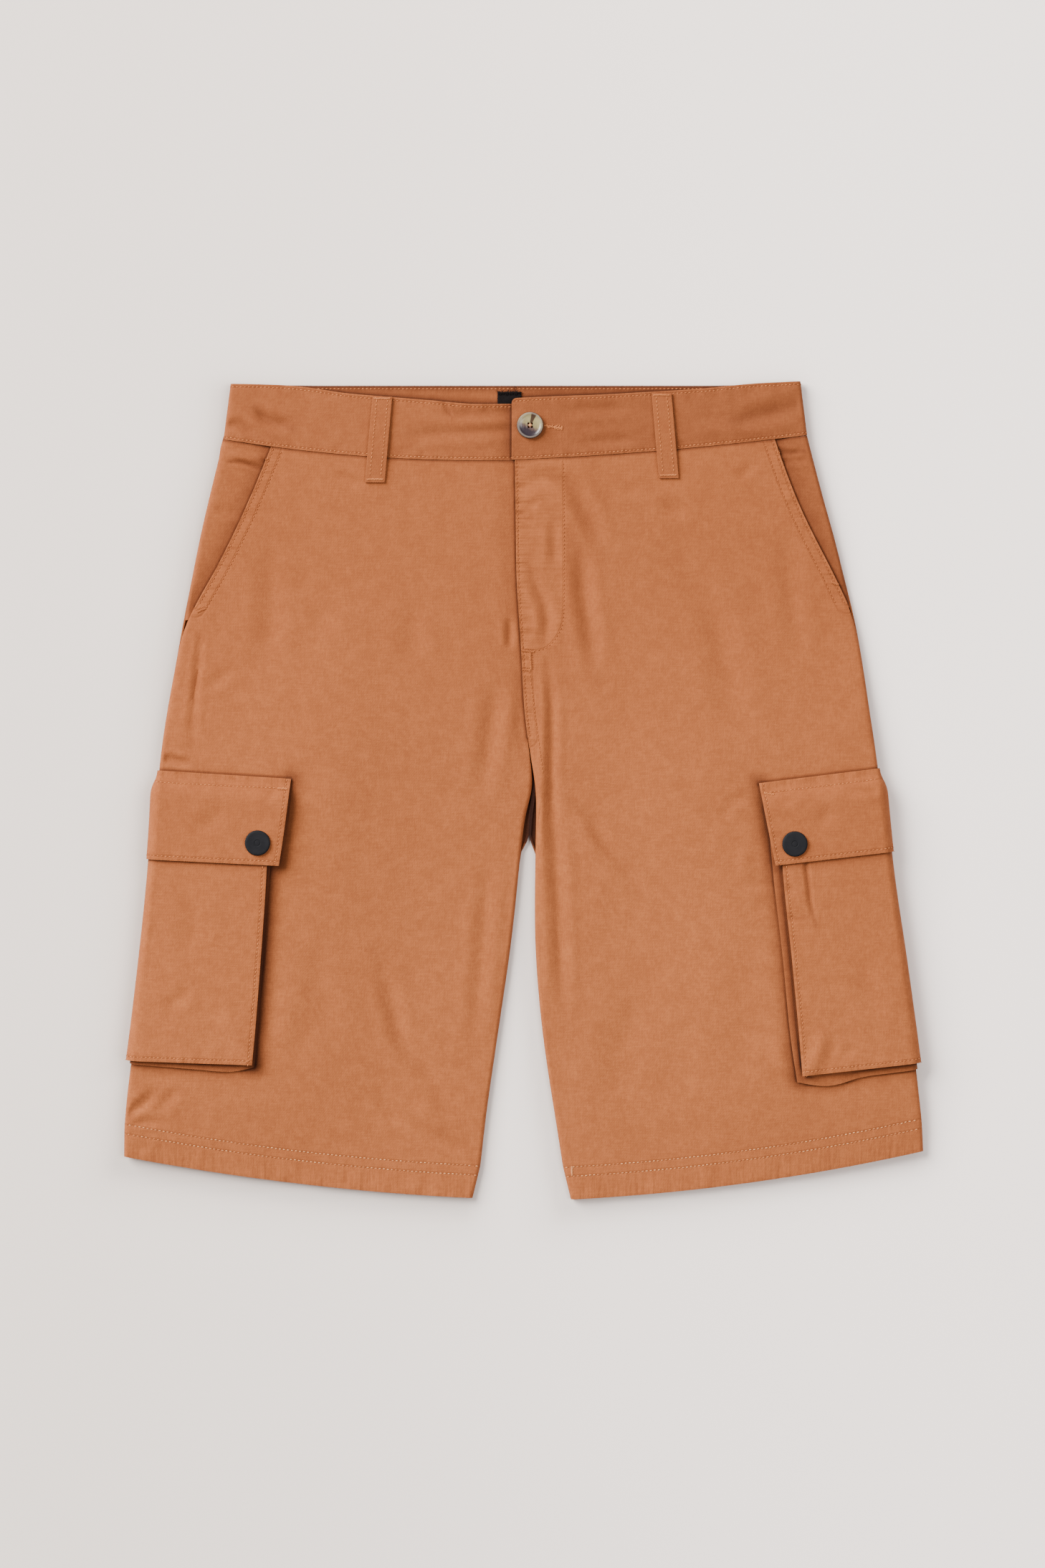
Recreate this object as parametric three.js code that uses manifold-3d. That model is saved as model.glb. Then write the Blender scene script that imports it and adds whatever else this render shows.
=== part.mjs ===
// Cargo shorts laid flat on their back, front side up, as a maker cuts and sews them.
// Units are millimetres. +X is the wearer's left, +Y runs from the hems to the waist, and +Z is up from
// the surface that they lie on. Every piece follows one shape: a flat ring round each leg. Its upper half
// is the front, its lower half is the back, and its ends are the folds at the side and the inseam.
import * as THREE from "three";
import Module from "manifold-3d";

const wasm = await Module();
wasm.setup();

// Driving sizes
const cloth = 1.2; // wall of one panel
const hemCloth = 1.9; // wall where the hem is turned up
const bandCloth = 1.8; // wall of the waistband, folded cloth and interfacing
const gap = 0.3; // between pieces that touch
const hemShare = 0.88; // how much of the last stretch of a leg is its turned hem
const loopWidth = 14.2;
const loopCloth = 1.2;
const buttonRadius = 9.6;
const buttonHeight = 3.4;
const buttonHoleRadius = 1;
const buttonHoleSpacing = 2.7;
const buttonPlace = { x: 4.7, y: 262.5 };
const snapRadius = 9.1;
const snapHeight = 2.2;
const flyUnderlap = 10; // how far the right front runs on under the left
const slantUnderlap = 10; // how far the hip facing runs on under the front
const bandUnderlap = 24; // how far the right end of the band runs on under the buttonhole end
const lapClearance = 0.4; // between a panel and the one that it runs on under
const pleatDepth = 12; // how far the bellows of a cargo pocket folds in
const pleatCloth = 1;
const pleatGap = 0.8;
const pleatHem = 0.6; // how far the upper edge of the bellows lies in from the pouch's edge
const flapSeamDepth = 9; // the stitched strip at the top of a flap
const label = { left: -18.8, right: -1.6, bottom: 267, top: 287, thickness: 0.5 };

const pouchOffset = gap + 2 * pleatCloth + pleatGap + gap; // underside of the pouch over the leg
const flapOffset = pouchOffset + cloth + gap; // underside of the flap over the leg
const flapStack = flapOffset + cloth; // what lies under the leg where the flap is
const backLoopStack = gap + loopCloth; // what lies under the band where a back loop is

// One row for each cross-section of a leg, from the waist seam to the hem:
// the side fold, the centre or inseam edge of the front, the height at which the back has that edge,
// how far the section bows towards the hem, how round the inner edge is folded (0 is an open seam),
// and how far the slanted pocket edge lies from the side.
const legRows = {
  right: [
    { sideX: -216.0, sideY: 252.4, innerX: -6.4, innerY: 237.6, backY: 251, bow: 5, fold: 0, slant: 34.5 },
    { sideX: -225.8, sideY: 212.7, innerX: -5.9, innerY: 205, backY: 212, bow: 4, fold: 0, slant: 29.2 },
    { sideX: -233.0, sideY: 181.8, innerX: -5.6, innerY: 176, backY: 180, bow: 3, fold: 0, slant: 22.4 },
    { sideX: -239.2, sideY: 150.9, innerX: -5.0, innerY: 147, backY: 149, bow: 2, fold: 0, slant: 13.2 },
    { sideX: -245.4, sideY: 120.0, innerX: -3.0, innerY: 119, backY: 119, bow: 1.5, fold: 0, slant: 0.8 },
    { sideX: -250.7, sideY: 89.0, innerX: -1.2, innerY: 90, backY: 90, bow: 1, fold: 0, slant: 0 },
    { sideX: -256.2, sideY: 58.2, innerX: 0.2, innerY: 60, backY: 60, bow: 0, fold: 0, slant: 0 },
    { sideX: -260.0, sideY: 32.0, innerX: 3.6, innerY: 33, backY: 33, bow: 0, fold: 0, slant: 0 },
    { sideX: -262.3, sideY: 10.0, innerX: 6.8, innerY: 4.6, backY: 4.6, bow: 0, fold: 1, slant: 0 },
    { sideX: -263.4, sideY: -18.0, innerX: 0.8, innerY: -19, backY: -19, bow: 0, fold: 1, slant: 0 },
    { sideX: -267.0, sideY: -66.0, innerX: -4.1, innerY: -66, backY: -66, bow: 0, fold: 1, slant: 0 },
    { sideX: -271.8, sideY: -112.0, innerX: -9.6, innerY: -116, backY: -116, bow: 0, fold: 1, slant: 0 },
    { sideX: -276.5, sideY: -153.0, innerX: -16.6, innerY: -162, backY: -162, bow: 1, fold: 1, slant: 0 },
    { sideX: -280.8, sideY: -187.0, innerX: -22.2, innerY: -200, backY: -200, bow: 2, fold: 1, slant: 0 },
    { sideX: -284.8, sideY: -216.0, innerX: -27.2, innerY: -234, backY: -234, bow: 3, fold: 1, slant: 0 },
    { sideX: -287.0, sideY: -240.0, innerX: -30.8, innerY: -268, backY: -268, bow: 4, fold: 1, slant: 0 },
    { sideX: -287.6, sideY: -263.0, innerX: -36.8, innerY: -293, backY: -293, bow: 4.6, fold: 1, slant: 0 },
  ],
  left: [
    { sideX: 204.0, sideY: 255.4, innerX: -6.4, innerY: 237.6, backY: 251, bow: 2.2, fold: 0, slant: 23.5 },
    { sideX: 215.0, sideY: 212.7, innerX: -5.9, innerY: 205, backY: 212, bow: 2, fold: 0, slant: 20.1 },
    { sideX: 223.8, sideY: 181.8, innerX: -5.6, innerY: 176, backY: 180, bow: 2, fold: 0, slant: 14.0 },
    { sideX: 231.5, sideY: 150.9, innerX: -5.0, innerY: 147, backY: 149, bow: 2, fold: 0, slant: 5.6 },
    { sideX: 239.2, sideY: 120.0, innerX: -3.0, innerY: 119, backY: 119, bow: 1.5, fold: 0, slant: 0 },
    { sideX: 244.4, sideY: 89.0, innerX: -1.2, innerY: 90, backY: 90, bow: 1, fold: 0, slant: 0 },
    { sideX: 248.7, sideY: 58.2, innerX: 0.2, innerY: 60, backY: 60, bow: 0, fold: 0, slant: 0 },
    { sideX: 252.6, sideY: 32.0, innerX: 3.6, innerY: 33, backY: 33, bow: 0, fold: 0, slant: 0 },
    { sideX: 255.4, sideY: 10.0, innerX: 8.4, innerY: 4.6, backY: 4.6, bow: 0, fold: 1, slant: 0 },
    { sideX: 257.8, sideY: -18.0, innerX: 9.1, innerY: -19, backY: -19, bow: 0, fold: 1, slant: 0 },
    { sideX: 263.2, sideY: -66.0, innerX: 7.9, innerY: -70, backY: -70, bow: 0, fold: 1, slant: 0 },
    { sideX: 270.2, sideY: -112.0, innerX: 8.4, innerY: -119, backY: -119, bow: 0, fold: 1, slant: 0 },
    { sideX: 275.9, sideY: -153.0, innerX: 12.2, innerY: -164, backY: -164, bow: 1, fold: 1, slant: 0 },
    { sideX: 280.6, sideY: -187.0, innerX: 17.2, innerY: -201, backY: -201, bow: 2, fold: 1, slant: 0 },
    { sideX: 283.6, sideY: -214.0, innerX: 22.8, innerY: -235, backY: -235, bow: 3, fold: 1, slant: 0 },
    { sideX: 286.2, sideY: -236.0, innerX: 28.0, innerY: -269, backY: -269, bow: 5, fold: 1, slant: 0 },
    { sideX: 287.6, sideY: -259.0, innerX: 34.0, innerY: -294, backY: -294, bow: 5.7, fold: 1, slant: 0 },
  ],
};
const lastRow = legRows.right.length - 1;
const lapEndRow = 6; // the row below which the fronts no longer lap at the fly

// Outside height of the garment, from the surface it lies on to the top of the front, at each height
const loftRows = [
  { y: 300, edge: 6.4, rise: 0.8 },
  { y: 236, edge: 6.4, rise: -0.2 },
  { y: 150, edge: 6.4, rise: -0.2 },
  { y: 60, edge: 6.0, rise: 0.2 },
  { y: 0, edge: 5.4, rise: 0.7 },
  { y: -150, edge: 5.4, rise: 0.7 },
  { y: -235, edge: 5.4, rise: 0.4 },
  { y: -300, edge: 5.4, rise: 0 },
];

// The largest folds of the front: a ridge has a positive height and a trough a negative one
const frontFolds = [
  { x1: 13, y1: 78, x2: 13.5, y2: -66, halfWidth: 6.5, height: 1.0 },
  { x1: 20, y1: 98, x2: 21.5, y2: -64, halfWidth: 8.5, height: -1.3 },
  { x1: 39, y1: 186, x2: 49, y2: 96, halfWidth: 11, height: -1.0 },
  { x1: -24, y1: 118, x2: -22, y2: 70, halfWidth: 12, height: -0.8 },
  { x1: -110, y1: 160, x2: -128, y2: -40, halfWidth: 30, height: 0.7 },
  { x1: 118, y1: 130, x2: 104, y2: -70, halfWidth: 32, height: 0.7 },
  { x1: -84, y1: -40, x2: -104, y2: -220, halfWidth: 24, height: -0.9 },
  { x1: 84, y1: -60, x2: 96, y2: -230, halfWidth: 24, height: -0.9 },
  { x1: -290, y1: -236, x2: -258, y2: -214, halfWidth: 10, height: -0.9 },
  { x1: -62, y1: 262, x2: -16, y2: 263, halfWidth: 10, height: 0.8 },
];

// The front edges of the waistband, from the fly to the side. The band's lower edge is the waist seam.
const bandTop = {
  right: [
    { x: 24, y: 278.4 },
    { x: -9, y: 278.4 },
    { x: -36, y: 277.6 },
    { x: -67, y: 280.7 },
    { x: -110, y: 284.1 },
    { x: -132, y: 286.0 },
    { x: -152, y: 289.8 },
    { x: -172, y: 291.8 },
    { x: -216, y: 292.8 },
  ],
  left: [
    { x: -9.5, y: 282.0 },
    { x: 15, y: 283.3 },
    { x: 50, y: 284.4 },
    { x: 92, y: 286.8 },
    { x: 135, y: 289.4 },
    { x: 158, y: 292.5 },
    { x: 206, y: 294.8 },
  ],
};
const bandBackTop = 291.6;
const bandSide = {
  right: { bottomX: -216.2, topX: -211.0 },
  left: { bottomX: 204.2, topX: 199.4 },
};
const bandFrontEnd = { right: -8 + bandUnderlap, left: -8.6 };
const bandMiddleY = 265;
const centreBackX = -5.6;

// Where a belt loop lies: its middle line, from the top of the band to its lower end
const beltLoops = [
  { name: "belt_loop_front_right", face: 1, topX: -101.5, topY: 283.0, endX: -106.9, endY: 221.5 },
  { name: "belt_loop_front_left", face: 1, topX: 99.1, topY: 285.6, endX: 104.4, endY: 224.5 },
  { name: "belt_loop_back_right", face: -1, topX: -120, topY: 290.6, endX: -122, endY: 229 },
  { name: "belt_loop_back_centre", face: -1, topX: -5.6, topY: 290.6, endX: -5.6, endY: 229 },
  { name: "belt_loop_back_left", face: -1, topX: 110, topY: 290.6, endX: 112, endY: 229 },
];

// Cargo pockets. They lie round the side fold, half on the front and half on the back.
// A width is measured along the cloth from the side fold to the pocket's edge.
const cargoPockets = {
  right: {
    flap: {
      top: { y: 14.7, slope: -0.063, width: 97 },
      bottom: { y: -49.3, slope: -0.048, width: 92.2 },
    },
    pouch: {
      top: { y: -2, slope: -0.05, width: 82 },
      bottom: { y: -193.6, slope: -0.035, width: 88.3 },
    },
    snap: { x: -190.6, y: -37.3 },
    bellows: [
      { place: 0, reach: 3 },
      { place: 0.5, reach: 1.4 },
      { place: 1, reach: 1.6 },
      { place: 1.06, reach: 6.4 },
      { place: 1.12, reach: 5 },
      { place: 1.3, reach: 3 },
      { place: 1.5, reach: 1.8 },
      { place: 3, reach: 1.8 },
    ],
  },
  left: {
    flap: {
      top: { y: 16.3, slope: -0.122, width: 88.4 },
      bottom: { y: -44, slope: -0.116, width: 82.6 },
    },
    pouch: {
      top: { y: -1, slope: -0.115, width: 76 },
      bottom: { y: -195.2, slope: -0.112, width: 83.6 },
    },
    snap: { x: 194.4, y: -38 },
    bellows: [
      { place: 0, reach: 7.6 },
      { place: 0.5, reach: 6.2 },
      { place: 0.87, reach: 6.4 },
      { place: 1, reach: 4 },
      { place: 1.06, reach: 9.8 },
      { place: 1.11, reach: 9.2 },
      { place: 1.17, reach: 5.2 },
      { place: 1.5, reach: 4.4 },
      { place: 1.7, reach: 1.8 },
      { place: 3, reach: 1.8 },
    ],
  },
};

// Where the underside rises over what lies below it: level from one height or distance, flat at the other
const rises = {
  overLoops: { level: 150, full: 222 },
  abovePocket: { level: 128, full: 2 },
  belowPocket: { level: -290, full: -207 },
  besidePocket: { level: 205, full: 100 },
};

// Small maths

const clamp = (v, low, high) => Math.min(high, Math.max(low, v));

function smoothStep(from, to, v) {
  const s = clamp((v - from) / (to - from), 0, 1);
  return s * s * (3 - 2 * s);
}

const riseAt = ({ level, full }, v) => smoothStep(level, full, v);

const range = (from, to, steps) =>
  Array.from({ length: steps + 1 }, (_, i) => from + ((to - from) * i) / steps);

// The value of a column of a table at a place between its rows
function lookUp(rows, key, value, column) {
  const rising = rows[rows.length - 1][key] > rows[0][key];
  const along = (row) => (rising ? row[key] : -row[key]);
  const wanted = rising ? value : -value;
  if (wanted <= along(rows[0])) return rows[0][column];
  for (let i = 1; i < rows.length; i++) {
    if (wanted > along(rows[i])) continue;
    const share = (wanted - along(rows[i - 1])) / (along(rows[i]) - along(rows[i - 1]));
    return THREE.MathUtils.lerp(rows[i - 1][column], rows[i][column], share);
  }
  return rows[rows.length - 1][column];
}

function columnAt(side, t, column) {
  const rows = legRows[side];
  const i = Math.min(Math.floor(t), rows.length - 2);
  return THREE.MathUtils.lerp(rows[i][column], rows[i + 1][column], t - i);
}

function edgeCurve(side, xColumn, yColumn) {
  const points = legRows[side].map((row) => new THREE.Vector3(row[xColumn], row[yColumn], 0));
  return new THREE.CatmullRomCurve3(points, false, "centripetal");
}

const edges = {};
for (const side of ["right", "left"]) {
  edges[side] = {
    side: edgeCurve(side, "sideX", "sideY"),
    front: edgeCurve(side, "innerX", "innerY"),
    back: edgeCurve(side, "innerX", "backY"),
  };
}

// Heights of the flat ring at a place on the surface

function sideAt(x, y) {
  return x < lookUp(legRows.right, "innerY", y, "innerX") ? "right" : "left";
}

// How far the underside is lifted by the half of a cargo pocket that lies under it
function liftOverPocket(x, y) {
  const side = x < 0 ? "right" : "left";
  const inward = Math.abs(x - lookUp(legRows[side], "sideY", y, "sideX"));
  const along = riseAt(rises.abovePocket, y) * riseAt(rises.belowPocket, y);
  return flapStack * riseAt(rises.besidePocket, inward) * along;
}

function lift(x, y) {
  return Math.max(liftOverPocket(x, y), backLoopStack * riseAt(rises.overLoops, y));
}

// Height of the garment, outside to outside
function loft(x, y) {
  const right = lookUp(legRows.right, "sideY", y, "sideX");
  const left = lookUp(legRows.left, "sideY", y, "sideX");
  const side = sideAt(x, y);
  const inner = lookUp(legRows[side], "innerY", y, "innerX");
  const outer = side === "right" ? right : left;
  const onLeg = Math.sin(Math.PI * clamp((x - outer) / (inner - outer), 0, 1));
  const onBody = Math.sin(Math.PI * clamp((x - right) / (left - right), 0, 1));
  const bodyShare = smoothStep(0, 70, y);
  const rise = lookUp(loftRows, "y", y, "rise");
  return lookUp(loftRows, "y", y, "edge") + rise * THREE.MathUtils.lerp(onLeg, onBody, bodyShare);
}

function foldHeight(x, y) {
  let height = 0;
  for (const f of frontFolds) {
    const dx = f.x2 - f.x1;
    const dy = f.y2 - f.y1;
    const length = Math.hypot(dx, dy);
    const along = ((x - f.x1) * dx + (y - f.y1) * dy) / length;
    const across = Math.abs((x - f.x1) * dy - (y - f.y1) * dx) / length;
    if (across >= f.halfWidth) continue;
    const start = smoothStep(-f.halfWidth, length / 4, along);
    const end = smoothStep(length + f.halfWidth, (length * 3) / 4, along);
    height += f.height * start * end * (0.5 + 0.5 * Math.cos((Math.PI * across) / f.halfWidth));
  }
  return height;
}

// Height of the outer surface. upright is 1 on a flat stretch and falls to 0 at the middle of a fold.
function surfaceHeight(x, y, face, upright) {
  const middle = lift(x, y) + loft(x, y) / 2;
  const half = loft(x, y) / 2;
  return middle + face * upright * half + (face > 0 ? upright * foldHeight(x, y) : 0);
}

// The ring round one leg

const quarterExcess = Math.PI / 2 - 1; // a quarter fold uses this many radii of cloth more than it covers

function ringSize(side, t, face) {
  const outer = edges[side].side.getPoint(t / lastRow);
  const inner = edges[side][face > 0 ? "front" : "back"].getPoint(t / lastRow);
  const foldShare = columnAt(side, t, "fold");
  const outerRadius = loft(outer.x, outer.y) / 2;
  const innerRadius = (foldShare * loft(inner.x, inner.y)) / 2;
  const flat = inner.distanceTo(outer);
  const length = flat + quarterExcess * (outerRadius + innerRadius);
  return { outer, inner, foldShare, outerRadius, innerRadius, flat, length };
}

// Where a plan distance from the side fold lies along the cloth
function clothDistance(plan, radius) {
  return plan < radius ? radius * Math.acos(1 - plan / radius) : plan + quarterExcess * radius;
}

// A point on the outer surface of a leg, a given length of cloth in from the side fold
function ringPoint(side, t, face, fromSide) {
  const ring = ringSize(side, t, face);
  const fromInner = ring.length - fromSide;
  let plan = fromSide - quarterExcess * ring.outerRadius;
  let upright = 1;
  if (fromSide < (ring.outerRadius * Math.PI) / 2) {
    plan = ring.outerRadius * (1 - Math.cos(fromSide / ring.outerRadius));
    upright = Math.sin(fromSide / ring.outerRadius);
  } else if (ring.innerRadius > 0 && fromInner < (ring.innerRadius * Math.PI) / 2) {
    plan = ring.flat - ring.innerRadius * (1 - Math.cos(fromInner / ring.innerRadius));
    upright = 1 - ring.foldShare * (1 - Math.sin(fromInner / ring.innerRadius));
  }
  const share = plan / ring.flat;
  const x = THREE.MathUtils.lerp(ring.outer.x, ring.inner.x, share);
  const bow = columnAt(side, t, "bow") * (face > 0 ? 1 : smoothStep(0, 3, t));
  const inShare = Math.min(share, 1);
  const y = THREE.MathUtils.lerp(ring.outer.y, ring.inner.y, inShare) - bow * 4 * inShare * (1 - inShare);
  return new THREE.Vector3(x, y, surfaceHeight(x, y, face, upright));
}

// The same, carried on past either end round the fold
function roundPoint(side, t, face, fromSide) {
  if (fromSide < 0) return ringPoint(side, t, -face, -fromSide);
  const ring = ringSize(side, t, face);
  if (fromSide <= ring.length || ring.foldShare === 0) return ringPoint(side, t, face, fromSide);
  return ringPoint(side, t, -face, ringSize(side, t, -face).length - (fromSide - ring.length));
}

// The outward normal there. At a seam it is that of the fold's middle, so that the gap keeps its width.
function ringNormal(side, t, face, fromSide) {
  const stepT = 0.02;
  const stepA = 0.2;
  const length = ringSize(side, t, face).length;
  let a = fromSide;
  if (Math.abs(fromSide - length) <= gap) a = length;
  if (fromSide <= gap / 2) a = 0;
  const above = ringPoint(side, Math.max(0, t - stepT), face, a);
  const down = ringPoint(side, Math.min(lastRow, t + stepT), face, a).sub(above);
  const across = roundPoint(side, t, face, a + stepA).sub(roundPoint(side, t, face, a - stepA));
  return across.cross(down).multiplyScalar((side === "left" ? 1 : -1) * face).normalize();
}

// A point of a leg moved out from its surface. Negative fromSide is on the back.
function offLeg(side, t, fromSide, out) {
  const face = fromSide < 0 ? -1 : 1;
  const point = ringPoint(side, t, face, Math.abs(fromSide));
  return point.addScaledVector(ringNormal(side, t, face, Math.abs(fromSide)), out);
}

// The section of a leg that passes a height, at a distance from the side fold
function sectionAt(side, y, fromSide) {
  const face = fromSide < 0 ? -1 : 1;
  let low = 0;
  let high = lastRow;
  for (let i = 0; i < 24; i++) {
    const t = (low + high) / 2;
    if (ringPoint(side, t, face, Math.abs(fromSide)).y > y) low = t;
    else high = t;
  }
  return (low + high) / 2;
}

// Solids from grids and sections

function orientOut(positions, triangles) {
  let volume = 0;
  const p = (i) => new THREE.Vector3().fromArray(positions, i * 3);
  for (let i = 0; i < triangles.length; i += 3) {
    volume += p(triangles[i]).dot(p(triangles[i + 1]).cross(p(triangles[i + 2])));
  }
  if (volume < 0) triangles.reverse();
  const geometry = new THREE.BufferGeometry();
  geometry.setAttribute("position", new THREE.Float32BufferAttribute(positions, 3));
  geometry.setIndex(triangles);
  geometry.computeVertexNormals();
  return geometry;
}

// A wall between two grids of points that have the same rows and columns
function wall(outside, inside) {
  const rows = outside.length;
  const columns = outside[0].length;
  const positions = [...outside.flat(), ...inside.flat()].flatMap((v) => v.toArray());
  const triangles = [];
  const quad = (a, b, c, d) => triangles.push(a, b, c, a, c, d);
  const index = (layer, i, j) => layer * rows * columns + i * columns + j;
  for (let i = 0; i < rows - 1; i++) {
    for (let j = 0; j < columns - 1; j++) {
      quad(index(0, i, j), index(0, i + 1, j), index(0, i + 1, j + 1), index(0, i, j + 1));
      quad(index(1, i, j), index(1, i, j + 1), index(1, i + 1, j + 1), index(1, i + 1, j));
    }
  }
  const right = columns - 1;
  for (let i = 0; i < rows - 1; i++) {
    quad(index(0, i, 0), index(1, i, 0), index(1, i + 1, 0), index(0, i + 1, 0));
    quad(index(0, i, right), index(0, i + 1, right), index(1, i + 1, right), index(1, i, right));
  }
  const foot = rows - 1;
  for (let j = 0; j < columns - 1; j++) {
    quad(index(0, 0, j), index(0, 0, j + 1), index(1, 0, j + 1), index(1, 0, j));
    quad(index(0, foot, j), index(1, foot, j), index(1, foot, j + 1), index(0, foot, j + 1));
  }
  return orientOut(positions, triangles);
}

// A closed section moved along a route. Each section is the same outline at another place.
function sweep(outline, sections) {
  const size = outline.length;
  const positions = sections.flat().flatMap((v) => v.toArray());
  const triangles = [];
  for (let i = 0; i < sections.length - 1; i++) {
    for (let j = 0; j < size; j++) {
      const k = (j + 1) % size;
      const [a, b, c, d] = [i * size + j, i * size + k, (i + 1) * size + k, (i + 1) * size + j];
      triangles.push(a, b, c, a, c, d);
    }
  }
  const last = (sections.length - 1) * size;
  for (const [a, b, c] of THREE.ShapeUtils.triangulateShape(outline, [])) {
    triangles.push(a, c, b, last + a, last + b, last + c);
  }
  return orientOut(positions, triangles);
}

// Panels

// Steps along the cloth from a folded edge, the same on every layer, so that nested folds keep their gap
const foldSteps = [0, 1.7, 3.4, 5.3];
const hemRow = lastRow - hemShare;
const panelRows = [
  ...range(0, 4.2, 6),
  ...[5, 5.6, 6.2, 6.8, 7.4],
  ...[8, 8.5, 9, 9.5, 10.25],
  ...range(11, lastRow - 1, 4),
  hemRow,
  lastRow,
];

// Places across a section, close together at its ends and evenly spread between
function spread(start, end, near, far, middle) {
  const first = near.map((v) => start + v);
  const last = far.map((v) => end - v).reverse();
  const between = range(first[first.length - 1], last[0], middle).slice(1, -1);
  return [...first, ...between, ...last];
}

// A panel: across gives the places of a row, and dip how far a place is sunk under what covers it
function panel({ face, side, across, dip = () => 0, rows = panelRows }) {
  const outside = [];
  const inside = [];
  for (const t of rows) {
    const places = across(t);
    const thickness = t >= hemRow ? hemCloth : cloth;
    outside.push(places.map((a) => offLeg(side, t, face * a, -dip(t, a))));
    inside.push(places.map((a) => offLeg(side, t, face * a, -dip(t, a) - thickness)));
  }
  return wall(outside, inside);
}

const frontLength = (side, t) => ringSize(side, t, 1).length;
const lapSteps = [...foldSteps, 9, 13.5, 21];
const panelMiddle = 9; // columns between the two close-set ends of a panel

// The outer edge of a front: the slanted pocket edge, and below it the side seam
function frontStart(side, t) {
  const radius = ringSize(side, t, 1).outerRadius;
  return Math.max(gap / 2, clothDistance(columnAt(side, t, "slant"), radius));
}

// How far the right front runs on under the left at the fly
function lapAt(t) {
  const narrowed = flyUnderlap * (1 - 0.07 * Math.min(t, lapEndRow));
  return THREE.MathUtils.lerp(narrowed, -gap / 2, clamp((t - lapEndRow) / 0.6, 0, 1));
}

function frontRight() {
  const across = (t) =>
    spread(frontStart("right", t), frontLength("right", t) + lapAt(t), foldSteps, lapSteps, panelMiddle);
  const dip = (t, a) => {
    const underLeft = smoothStep(lapAt(t) + 11, lapAt(t) + 3, frontLength("right", t) + lapAt(t) - a);
    return (cloth + lapClearance) * underLeft * smoothStep(lapEndRow + 1.8, lapEndRow + 0.7, t);
  };
  return panel({ face: 1, side: "right", across, dip });
}

function frontLeft() {
  const across = (t) =>
    spread(frontStart("left", t), frontLength("left", t) - gap / 2, foldSteps, lapSteps, panelMiddle);
  return panel({ face: 1, side: "left", across });
}

function back(side) {
  const across = (t) =>
    spread(gap / 2, ringSize(side, t, -1).length - gap / 2, foldSteps, foldSteps, panelMiddle);
  return panel({ face: -1, side, across });
}

function hipFacing(side) {
  const lastSection = side === "right" ? 3.9 : 3.6;
  const across = (t) => spread(gap / 2, frontStart(side, t) + slantUnderlap, foldSteps, [0, 4.5, 8], 2);
  const dip = (t, a) => {
    const shown = 0.35 * smoothStep(4, 10, a);
    const under = smoothStep(frontStart(side, t) - 8, frontStart(side, t) - 1.5, a);
    return (cloth + lapClearance + 0.1) * Math.max(shown, under);
  };
  return panel({ face: 1, side, across, dip, rows: range(0, lastSection, 8) });
}

// Waistband

const bandRadius = (side) => loft(bandSide[side].bottomX, bandMiddleY) / 2;

// Height of a place on the band, at a share of the way up from the waist seam
function bandHeight(side, face, share, x) {
  const seam = legRows[side][0];
  const inward = clamp((x - seam.sideX) / (seam.innerX - seam.sideX), 0, 1);
  const innerY = face > 0 ? seam.innerY : seam.backY;
  const bow = face > 0 ? seam.bow * 4 * inward * (1 - inward) : 0;
  const bottom = THREE.MathUtils.lerp(seam.sideY, innerY, inward) - bow + gap;
  const sideTop = lookUp(bandTop[side], "x", seam.sideX, "y");
  const backTop = THREE.MathUtils.lerp(sideTop, bandBackTop, smoothStep(0, 0.3, inward));
  const top = face > 0 ? lookUp(bandTop[side], "x", x, "y") : backTop;
  return THREE.MathUtils.lerp(bottom, top, share);
}

// A point on the band, moved out. Its place is that of the point below it on the waist seam:
// along the cloth from the side fold, negative on the back.
function offBand(side, share, fromSide, out) {
  const face = fromSide < 0 ? -1 : 1;
  const { bottomX, topX } = bandSide[side];
  const radius = bandRadius(side);
  const angle = Math.min(Math.abs(fromSide) / radius, Math.PI / 2);
  const onFold = angle < Math.PI / 2;
  const plan = onFold ? radius * (1 - Math.cos(angle)) : Math.abs(fromSide) - quarterExcess * radius;
  const sideX = THREE.MathUtils.lerp(bottomX, topX, share);
  const x = THREE.MathUtils.lerp(sideX, centreBackX, plan / Math.abs(centreBackX - bottomX));
  const y = bandHeight(side, face, share, x);
  const outward = new THREE.Vector3(Math.sign(bottomX) * Math.cos(angle), 0, face * Math.sin(angle));
  return new THREE.Vector3(x, y, surfaceHeight(x, y, face, Math.sin(angle))).addScaledVector(outward, out);
}

function waistband(side) {
  const inwards = side === "right" ? 1 : -1;
  const alongCloth = (x) => inwards * (x - bandSide[side].bottomX) + quarterExcess * bandRadius(side);
  const frontEnd = alongCloth(bandFrontEnd[side]);
  const backEnd = alongCloth(centreBackX - (inwards * gap) / 2);
  const fade = { full: bandUnderlap + 5, level: bandUnderlap + 15 };
  const endSteps = side === "right" ? [0, 8, fade.full, fade.level] : [0, 4, 12];
  const front = spread(0, frontEnd, foldSteps, endSteps, 12);
  const rear = spread(0, backEnd, foldSteps, [0, 14, 26], 10).slice(1);
  const places = [...rear.map((a) => -a).reverse(), ...front];
  const sunk = (a) => (side === "right" && a > 0 ? (bandCloth + gap) * riseAt(fade, frontEnd - a) : 0);
  const grid = (out) =>
    range(0, 1, 4).map((share) => places.map((a) => offBand(side, share, a, out - sunk(a))));
  return wall(grid(0), grid(-bandCloth));
}

// Belt loops

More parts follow.
